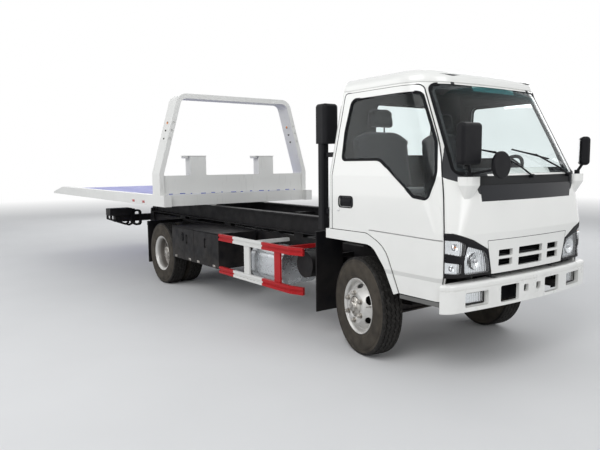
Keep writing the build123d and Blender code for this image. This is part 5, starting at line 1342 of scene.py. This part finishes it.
class TowTruckRoadLamps(bpy.types.Operator):
    """Fog lamps deep in their pockets, the tail lamps, and dark boards of painted shade behind the bumper's
    holes
    """
    bl_idname = "tow_truck.road_lamps"
    bl_label = "Fog and tail lamps"
    bl_options = {"REGISTER", "UNDO"}

    def execute(self, context):
        housings = []
        for side, outline, sign in (("left", FOG_WINDOW, 1), ("right", flipped(FOG_WINDOW), -1)):
            self.fog(side, outline)
            housings.append(self.tail(side, sign))
        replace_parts(done(joined("tail_lamp_housings", housings), "chassis", "black_plastic"), "road_lamps")
        # Painted shade: dark boards behind the bumper darken its holes
        shade_boards = []
        (back, front), (bottom, top) = SHADE_BOARD_DEPTH, SHADE_BOARD_HEIGHT
        for low, high in SHADE_BOARD_SPANS:
            shade_boards.append(box("shade_board", at(back, low, bottom), at(front, high, top), 0.002))
        done(joined("bumper_shade_boards", shade_boards), "chassis", "deep_black")
        return {"FINISHED"}

    def fog(self, side, outline):
        """White pocket, dark rim, reflector and clear lens of one fog lamp."""
        window = softened(outline)
        edge = [front_point(*p, ["road_lamps"]) for p in window]
        deep = Vector((-0.040, 0, 0))
        mouth = drawn("mouth", edge, closed=True)
        back = drawn("back", [p + deep for p in edge], closed=True)
        pocket = joined(f"fog_pocket_{side}", [mouth, back])
        on_whole(pocket, (bpy.ops.mesh.bridge_edge_loops, {}))
        modifier(pocket, "SOLIDIFY", thickness=0.002, offset=0.0)
        outward(pocket)
        done(pocket, "chassis", "bumper_paint")
        inner = [tuple(p) for p in grown(window, -0.003)]
        done(pane(f"fog_reflector_{side}", inner, "road_lamps", -0.039, 0.001), "chassis", "lamp_silver")
        lens = [tuple(p) for p in grown(window, -0.009)]
        done(pane(f"fog_lens_{side}", lens, "road_lamps", -0.028, 0.003), "chassis", "clear_lens")
        ring = [front_point(*p, ["road_lamps"], -0.027) for p in grown(window, -0.006)]
        done(tube(f"fog_trim_{side}", ring, 0.0045, closed=True), "chassis", "black_plastic")

    def tail(self, side, sign):
        """Three lenses on the back of a tail lamp; returns its housing."""
        (x_low, x_high), (y_low, y_high), (z_low, z_high) = TAIL_LAMP
        third = (y_high - y_low) / 3
        for n, look in enumerate(("red_lens", "amber_lens", "clear_lens")):
            low = y_low + n * third + 0.004
            high = low + third - 0.008
            ys = sorted((sign * low, sign * high))
            corner = at(x_low - 0.006, ys[0], z_low + 0.008)
            lens = box(f"tail_{look}_{side}", corner, at(x_low + 0.003, ys[1], z_high - 0.008), 0.004, 3)
            done(lens, "chassis", look)
        ys = sorted((sign * y_low, sign * y_high))
        return box("housing", at(x_low, ys[0], z_low), at(x_high, ys[1], z_high), 0.005, 3)


# Cab trim


class TowTruckCabTrim(bpy.types.Operator):
    """Door handles, keyholes, mirror glasses and the louvres of painted shade behind the grille"""
    bl_idname = "tow_truck.cab_trim"
    bl_label = "Cab trim"
    bl_options = {"REGISTER", "UNDO"}

    def execute(self, context):
        for name, sign in SIDES:
            self.handle(name, sign)
            self.mirror(name)
        self.grille()
        return {"FINISHED"}

    def handle(self, name, sign):
        """Recess liner, pull lever and key barrel of one door."""
        (x_low, x_high), (z_low, z_high) = HANDLE
        node = f"door_{name}"
        corners = [(x_low, z_low), (x_high, z_low), (x_high, z_high), (x_low, z_high)]
        ring = [side_point(*p, sign, node) for p in grown(rounded(corners, [0.022] * 4), 0.003)]
        frame_tube = tube("frame", ring, 0.005, closed=True)
        middle = (z_low + z_high) / 2
        deep = side_point((x_low + x_high) / 2, middle, sign, node)
        ys = sorted((deep.y - sign * 0.001, deep.y + sign * 0.003))
        corner = at(x_low + 0.004, ys[0], z_low + 0.004)
        back = box("back", corner, at(x_high - 0.004, ys[1], z_high - 0.004), 0.001)
        ys = sorted((ring[0].y - sign * 0.004, ring[0].y - sign * 0.014))
        corner = at(x_low + 0.008, ys[0], middle - 0.012)
        lever = box("lever", corner, at(x_high - 0.030, ys[1], middle + 0.022), 0.004, 3)
        handle = joined(f"door_handle_{name}", [frame_tube, back, lever])
        done(handle, body_of(node), "black_plastic")
        spot = side_point(*KEY, sign, node)
        barrel_end = spot + Vector((0, sign * 0.005, 0))
        lock = barrel("lock", spot, barrel_end, 0.011, 24, 0.0015)
        slot = Vector((0.0012, 0.001, 0.006))
        slot_cut = box("slot", barrel_end - slot, barrel_end + slot)
        cut(lock, slot_cut)
        lock.name = f"door_lock_{name}"
        done(lock, body_of(node), "bright_metal")

    def mirror(self, name):
        """The glass on the rear of a mirror head, in its raised rim."""
        y, turn, low, high = MIRROR_HEADS[name]
        glass = box(f"mirror_glass_{name}", (-0.0415, -0.078, low), (-0.0370, 0.078, high), 0.002, 3)
        placed(glass, Matrix.Translation(at(0.9625, y, 0)) @ Matrix.Rotation(turn, 4, "Z"))
        done(glass, "cab", "mirror_glass")

    def grille(self):
        """Dark louvres and a dark screen that show through the slots of the grille: painted shade."""
        parts = []
        count, lowest, pitch = LOUVRES
        (back, front), wide = LOUVRE_DEPTH, LOUVRE_HALF_WIDTH
        for n in range(count):
            z = lowest + n * pitch
            parts.append(box("louvre", at(back, -wide, z), at(front, wide, z + LOUVRE_THICKNESS), 0.001))
        (back, front), wide, (bottom, top) = SHADE_SCREEN_DEPTH, SHADE_SCREEN_HALF_WIDTH, SHADE_SCREEN_HEIGHT
        parts.append(box("shade_screen", at(back, -wide, bottom), at(front, wide, top), 0.002))
        # Painted shade: louvres and screen in unlit black behind the grille's slots
        done(joined("grille_shade_louvres", parts), "cab", "deep_black")


# Seats


def stuffed(obj, cap, pressure=4.0):
    """Swell a closed form as stuffed cloth, hold back what moves further than cap, and smooth it."""
    modifier(obj, "REMESH", mode="VOXEL", voxel_size=sizes().cushion_voxel)
    before = [vertex.co.copy() for vertex in obj.data.vertices]
    only(obj)
    bpy.ops.object.modifier_add(type="CLOTH")
    cloth = obj.modifiers[-1]
    cloth.settings.use_pressure = True
    cloth.settings.uniform_pressure_force = pressure
    cloth.settings.effector_weights.gravity = 0
    for number in range(1, 21):
        bpy.context.scene.frame_set(number)
    bpy.ops.object.modifier_apply(modifier=cloth.name)
    bpy.context.scene.frame_set(1)
    for vertex, start in zip(obj.data.vertices, before):
        move = vertex.co - start
        if move.length > cap:
            vertex.co = start + move.normalized() * cap
    modifier(obj, "SMOOTH", factor=0.5, iterations=4)
    modifier(obj, "SUBSURF", levels=1)


def slab(name, outline, y_low, y_high):
    """A block whose side view is an outline of distance ahead and height."""
    obj = drawn(name, [at(x, y_low, z) for x, z in outline], filled=True)
    pushed(obj, (0, y_high - y_low, 0))
    return obj


def crowned(obj, middle, half, drop):
    """Let the top of a back or headrest fall away towards its two ends."""
    heights = [vertex.co.z for vertex in obj.data.vertices]
    low, high = min(heights), max(heights)
    for vertex in obj.data.vertices:
        beside = max(0.0, abs(vertex.co.y - middle) / half - 0.35) / 0.65
        rise = max(0.0, (vertex.co.z - low) / (high - low) - 0.4) / 0.6
        vertex.co.z -= drop * beside * beside * rise


class TowTruckSeats(bpy.types.Operator):
    """Stuffed cushions, backs and headrests in place of the plain seats"""
    bl_idname = "tow_truck.seats"
    bl_label = "Seats"
    bl_options = {"REGISTER", "UNDO"}

    def execute(self, context):
        low, high = SEAT_SPANS["driver"]
        bench_low, bench_high = SEAT_SPANS["bench"]
        middle = (low + high) / 2
        shown = None
        for kind, (corners, radii, half, cap, drop) in PADS.items():
            half = half or (high - low) / 2
            outline = rounded(corners, radii)
            driver = slab(f"driver_{kind}", outline, middle - half + 0.006, middle + half - 0.006)
            stuffed(driver, cap)
            if drop:
                crowned(driver, middle, half, drop)
            widen = 1.0 if kind == "headrest" else (bench_high - bench_low) / (high - low)
            place = Matrix.Translation((0, (bench_low + bench_high) / 2 - widen * middle, 0))
            bench = placed(copy_of(driver, f"bench_{kind}"), place @ Matrix.Diagonal((1, widen, 1, 1)))
            for piece in (driver, bench):
                done(piece, "cab", "woven_cloth", 60)
            shown = driver if kind == "cushion" else shown
        self.carriers()
        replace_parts(shown, "seats")
        return {"FINISHED"}

    def carriers(self):
        """Seat boxes, headrest stems and a belt stalk with its buckle."""
        parts = []
        for y_low, y_high in SEAT_SPANS.values():
            middle = (y_low + y_high) / 2
            low, high = at(-0.200, y_low + 0.04, 1.075), at(0.220, y_high - 0.04, 1.196)
            parts.append(box("base", low, high, 0.012, 3))
            for y in (middle - 0.052, middle + 0.052):
                parts.append(barrel("stem", at(-0.245, y, 1.800), at(-0.245, y, 1.866), 0.006))
        line = [at(-0.13, 0.115, 1.20), at(-0.10, 0.110, 1.30), at(-0.08, 0.108, 1.38)]
        parts.append(tube("stalk", line, 0.010))
        parts.append(box("buckle", at(-0.105, 0.090, 1.375), at(-0.060, 0.122, 1.430), 0.006, 3))
        done(joined("seat_carriers", parts), "cab", "black_plastic")


# Bed and headboard


class TowTruckBedFittings(bpy.types.Operator):
    """Bores and lamps of the headboard loop, film strips and side marks of the bed"""
    bl_idname = "tow_truck.bed_fittings"
    bl_label = "Bed fittings"
    bl_options = {"REGISTER", "UNDO"}

    def execute(self, context):
        self.loop_lamps()
        self.film_strips()
        self.side_marks()
        return {"FINISHED"}

    def loop_lamps(self):
        """Dark bores with bright rims through each leg, each filled with a black plug of painted shade, and
        an amber lamp in the top one.
        """
        for name, sign in SIDES:
            rims, bore_shades = [], []
            for z in LOOP_HOLES:
                outer, inner = self.through_loop(sign, z)
                proud = Vector((0, sign * 0.0006, 0))
                # Painted shade: a black plug fills each bore, where the hole's inside is shaded
                bore_shades.append(barrel("bore_shade", inner - proud, outer + proud, BORE_RADIUS, 28, 0.0005))
                wide = BORE_RADIUS + 0.001
                for spot, side in ((outer, sign), (inner, -sign)):
                    rims.append(oval_ring(spot, side * 0.001, wide, wide, 24, 0.0016))
            done(joined(f"loop_rims_{name}", rims), "bed", "hub_metal")
            done(joined(f"loop_bore_shades_{name}", bore_shades), "bed", "deep_black")
            lamps = []
            for spot, side in zip(self.through_loop(sign, LOOP_HOLES[0]), (sign, -sign)):
                end = spot + Vector((0, side * 0.009, 0))
                start = spot + Vector((0, side * 0.0007, 0))
                lamps.append(barrel("lamp", start, end, BORE_RADIUS - 0.001, 28, 0.005))
            done(joined(f"loop_lamp_{name}", lamps), "bed", "amber_lens")

    def through_loop(self, sign, z):
        """Where a level line across the truck leaves and enters one leg of the loop."""
        low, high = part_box("headboard_loop")
        x = (low.x + high.x) / 2
        outer = cast((x + 0.035, sign * 2, z), (0, -sign, 0), ["headboard_loop"])
        inner = cast((x + 0.035, 0, z), (0, sign, 0), ["headboard_loop"])
        return Vector((x, outer.y, z)), Vector((x, inner.y, z))

    def film_strips(self):
        """Torn dashes of blue film left along the lower edge of the plate."""
        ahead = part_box("headboard_panel")[1].x + 1
        face = cast((ahead, 0.2, 1.20), (-1, 0, 0), ["headboard_panel"])
        strips = []
        for n in range(14):
            y = -0.98 + n * 0.146
            length = 0.050 + 0.030 * math.sin(n * 2.3)
            rise = 1.186 + 0.003 * math.sin(n * 1.7)
            high = (face.x + 0.0012, y + length, rise + 0.010)
            strips.append(box("strip", (face.x, y, rise), high, 0.0005))
        done(joined("film_strips", strips), "bed", "blue_film")

    def side_marks(self):
        """Red reflectors on the sides of the bed."""
        for name, sign in SIDES:
            marks = []
            for x in RED_MARKS:
                spot = side_point(x, 1.09, sign, "bed_frame")
                ys = sorted((spot.y, spot.y + sign * 0.004))
                low, high = (spot.x - 0.045, ys[0], 1.068), (spot.x + 0.045, ys[1], 1.098)
                marks.append(box("mark", low, high, 0.0015))
            done(joined(f"side_marks_{name}", marks), "bed", "red_lens")


# Side boxes


class TowTruckBoxFittings(bpy.types.Operator):
    """Hinges and latches of the tool box doors"""
    bl_idname = "tow_truck.box_fittings"
    bl_label = "Tool box fittings"
    bl_options = {"REGISTER", "UNDO"}

    def execute(self, context):
        for name, sign in SIDES:
            for end in ("front", "rear"):
                node = f"tool_door_{end}_{name}"
                low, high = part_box(node)
                hinges = []
                for share in (0.18, 0.82):
                    x = low.x + (high.x - low.x) * share
                    hinges += self.hinge(x, low.z, sign, node)
                done(joined(f"box_hinges_{end}_{name}", hinges), body_of(node), "hub_metal")
                self.latch(f"box_latch_{end}_{name}", node, sign, low, high)
        return {"FINISHED"}

    def hinge(self, x, bottom, sign, node):
        """A leaf with two screws at the bottom edge of a tool door."""
        spot = cast((x, sign * 2, bottom + 0.03), (0, -sign, 0), [node])
        ys = sorted((spot.y, spot.y + sign * 0.004))
        parts = [box("leaf", (x - 0.030, ys[0], bottom + 0.008), (x + 0.030, ys[1], bottom + 0.034), 0.0015)]
        for shift in (-0.018, 0.018):
            head = Vector((x + shift, spot.y + sign * 0.003, bottom + 0.022))
            parts.append(barrel("screw", head, head + Vector((0, sign * 0.003, 0)), 0.005, 12, 0.001))
        return parts

    def latch(self, name, node, sign, low, high):
        """An upright oval latch: dark dish, rim, paddle and lock barrel."""
        x = (low.x + high.x) / 2
        z = high.z - LATCH[2]
        spot = cast((x, sign * 2, z), (0, -sign, 0), [node])
        tall = Matrix.Translation(spot) @ Matrix.Diagonal((1, 1, 1.75, 1))
        dish = placed(barrel(name + "_dish", (0, 0, 0), (0, sign * 0.002, 0), 0.030, 36, 0.0005), tall)
        done(dish, body_of(node), "deep_black")
        ring = oval_ring(spot, sign * 0.002, LATCH[0], LATCH[1], 36, 0.004)
        ys = sorted((spot.y + sign * 0.002, spot.y + sign * 0.008))
        paddle = box("paddle", (x - 0.014, ys[0], z - 0.036), (x + 0.014, ys[1], z + 0.020), 0.0025, 3)
        lock = barrel("lock", (x, ys[0], z + 0.034), (x, ys[1], z + 0.034), 0.008, 20, 0.001)
        done(joined(name, [ring, paddle, lock]), body_of(node), "black_plastic")


# Surfaces


class TowTruckSurfaces(bpy.types.Operator):
    """Materials of all carried-over CAD nodes"""
    bl_idname = "tow_truck.surfaces"
    bl_label = "Surfaces"
    bl_options = {"REGISTER", "UNDO"}

    def execute(self, context):
        named = [node for nodes in NODE_MATERIALS.values() for node in nodes]
        missing = sorted(set(frame["nodes"]) - set(named))
        if missing:
            raise RuntimeError(f"no material for {missing}")
        for look, nodes in NODE_MATERIALS.items():
            for node in nodes:
                mesh = frame["nodes"][node].data
                mesh.materials.clear()
                mesh.materials.append(material(look))
        return {"FINISHED"}


# Stage
CAMERA_AT = (3.4485, -3.9326, 1.5371)
CAMERA_YAW = math.radians(144.0266)
CAMERA_PITCH = math.radians(-5.8711)
CAMERA_ROLL = math.radians(-0.5776)
CAMERA_LENS = 35.08


def floor_material():
    """A pale grey floor that fades to the white of the background."""
    shader = Shader("floor")
    shader.roughness(0.9)
    patches = shader.span(shader.noise(1.2, 5.0), 0.3, 0.7)
    shader.colour(shader.blend(patches, (0.72, 0.72, 0.72), (0.74, 0.74, 0.74)))
    away = shader.add("ShaderNodeVectorMath", {0: shader.place}, operation="LENGTH").outputs["Value"]
    fade = shader.span(away, 9.0, 22.0)
    white = shader.add("ShaderNodeEmission", {"Strength": 1.0}).outputs[0]
    mix = shader.add("ShaderNodeMixShader", {0: fade, 1: shader.surface.outputs[0], 2: white})
    output = next(node for node in shader.tree.nodes if node.type == "OUTPUT_MATERIAL")
    shader.put(output.inputs["Surface"], mix.outputs[0])
    return shader.material


class TowTruckStage(bpy.types.Operator):
    """Floor, lights and camera"""
    bl_idname = "tow_truck.stage"
    bl_label = "Stage"
    bl_options = {"REGISTER", "UNDO"}

    def execute(self, context):
        self.floor()
        self.light("key", at(3.0, -6.5, 6.5), 5.0, 341)
        self.light("front", at(8.5, 1.0, 4.5), 5.0, 231)
        self.light("fill", at(-6.0, -8.0, 4.0), 7.0, 231)
        self.light("rear", at(-13.0, 3.0, 5.5), 6.0, 231)
        self.light("far", at(-3.0, 8.0, 6.0), 7.0, 210)
        self.world(context)
        self.camera(context)
        context.scene.view_settings.view_transform = "Standard"
        return {"FINISHED"}

    def floor(self):
        deselect()
        bpy.ops.mesh.primitive_plane_add(size=400)
        floor = active("floor")
        floor.data.materials.append(floor_material())
        floor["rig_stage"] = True

    def light(self, name, place, size, power):
        """A soft square lamp aimed at the middle of the truck."""
        low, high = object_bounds()
        turn = ((low + high) / 2 - place).to_track_quat("-Z", "Y").to_euler()
        deselect()
        bpy.ops.object.light_add(type="AREA", location=place, rotation=turn)
        lamp = bpy.context.active_object
        lamp.name = name
        lamp.data.size = size
        lamp.data.energy = power

    def world(self, context):
        """White to the camera, and soft grey light for the truck."""
        world = bpy.data.worlds.new("studio")
        context.scene.world = world
        world.use_nodes = True
        tree = world.node_tree
        grey = tree.nodes["Background"]
        grey.inputs["Color"].default_value = (0.86, 0.90, 0.95, 1)
        grey.inputs["Strength"].default_value = 0.42
        white = tree.nodes.new("ShaderNodeBackground")
        white.inputs["Color"].default_value = (1, 1, 1, 1)
        path = tree.nodes.new("ShaderNodeLightPath")
        mix = tree.nodes.new("ShaderNodeMixShader")
        seen = None
        for kind in ("Is Camera Ray", "Is Glossy Ray", "Is Transmission Ray"):
            if seen is None:
                seen = path.outputs[kind]
                continue
            either = tree.nodes.new("ShaderNodeMath")
            either.operation = "MAXIMUM"
            tree.links.new(seen, either.inputs[0])
            tree.links.new(path.outputs[kind], either.inputs[1])
            seen = either.outputs[0]
        tree.links.new(seen, mix.inputs[0])
        tree.links.new(grey.outputs[0], mix.inputs[1])
        tree.links.new(white.outputs[0], mix.inputs[2])
        tree.links.new(mix.outputs[0], tree.nodes["World Output"].inputs["Surface"])

    def camera(self, context):
        """The photo's viewpoint, from its yaw, pitch and roll."""
        level_reach = math.cos(CAMERA_PITCH)
        ahead = Vector((math.cos(CAMERA_YAW) * level_reach, math.sin(CAMERA_YAW) * level_reach,
                        math.sin(CAMERA_PITCH)))
        level = Vector((math.sin(CAMERA_YAW), -math.cos(CAMERA_YAW), 0))
        above = level.cross(ahead)
        right = math.cos(CAMERA_ROLL) * level + math.sin(CAMERA_ROLL) * above
        up = math.cos(CAMERA_ROLL) * above - math.sin(CAMERA_ROLL) * level
        turn = Matrix((right, up, -ahead)).transposed()
        deselect()
        bpy.ops.object.camera_add(location=at(*CAMERA_AT), rotation=turn.to_euler())
        camera = bpy.context.active_object
        camera.data.lens = CAMERA_LENS
        camera.data.clip_end = 500
        context.scene.camera = camera


class TowTruckPanel(bpy.types.Panel):
    """Lists the truck's settings and operators"""
    bl_label = "Tow Truck"
    bl_idname = "VIEW3D_PT_tow_truck"
    bl_space_type = "VIEW_3D"
    bl_region_type = "UI"
    bl_category = "Tow Truck"

    def draw(self, context):
        for group in (context.scene.tow_truck_sizes, context.scene.tow_truck_colours):
            column = self.layout.column()
            for name in group.bl_rna.properties.keys():
                if name not in ("rna_type", "name"):
                    column.prop(group, name)
        for step in STEPS:
            self.layout.operator(step.bl_idname)


GROUPS = [TowTruckSizes, TowTruckColours]
STEPS = [
    TowTruckSurfaces, TowTruckTyres, TowTruckRims, TowTruckWheelFittings, TowTruckSeals, TowTruckSeams,
    TowTruckWipers, TowTruckHeadlamps, TowTruckRoadLamps, TowTruckCabTrim, TowTruckSeats,
    TowTruckBedFittings, TowTruckBoxFittings, TowTruckStage,
]


def register():
    for item in GROUPS + STEPS + [TowTruckPanel]:
        bpy.utils.register_class(item)
    bpy.types.Scene.tow_truck_sizes = bpy.props.PointerProperty(type=TowTruckSizes)
    bpy.types.Scene.tow_truck_colours = bpy.props.PointerProperty(type=TowTruckColours)


def unregister():
    del bpy.types.Scene.tow_truck_colours
    del bpy.types.Scene.tow_truck_sizes
    for item in reversed(GROUPS + STEPS + [TowTruckPanel]):
        bpy.utils.unregister_class(item)


def main():
    register()
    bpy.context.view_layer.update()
    for step in STEPS:
        group, name = step.bl_idname.split(".")
        getattr(getattr(bpy.ops, group), name)()


if __name__ == "__main__":
    main()
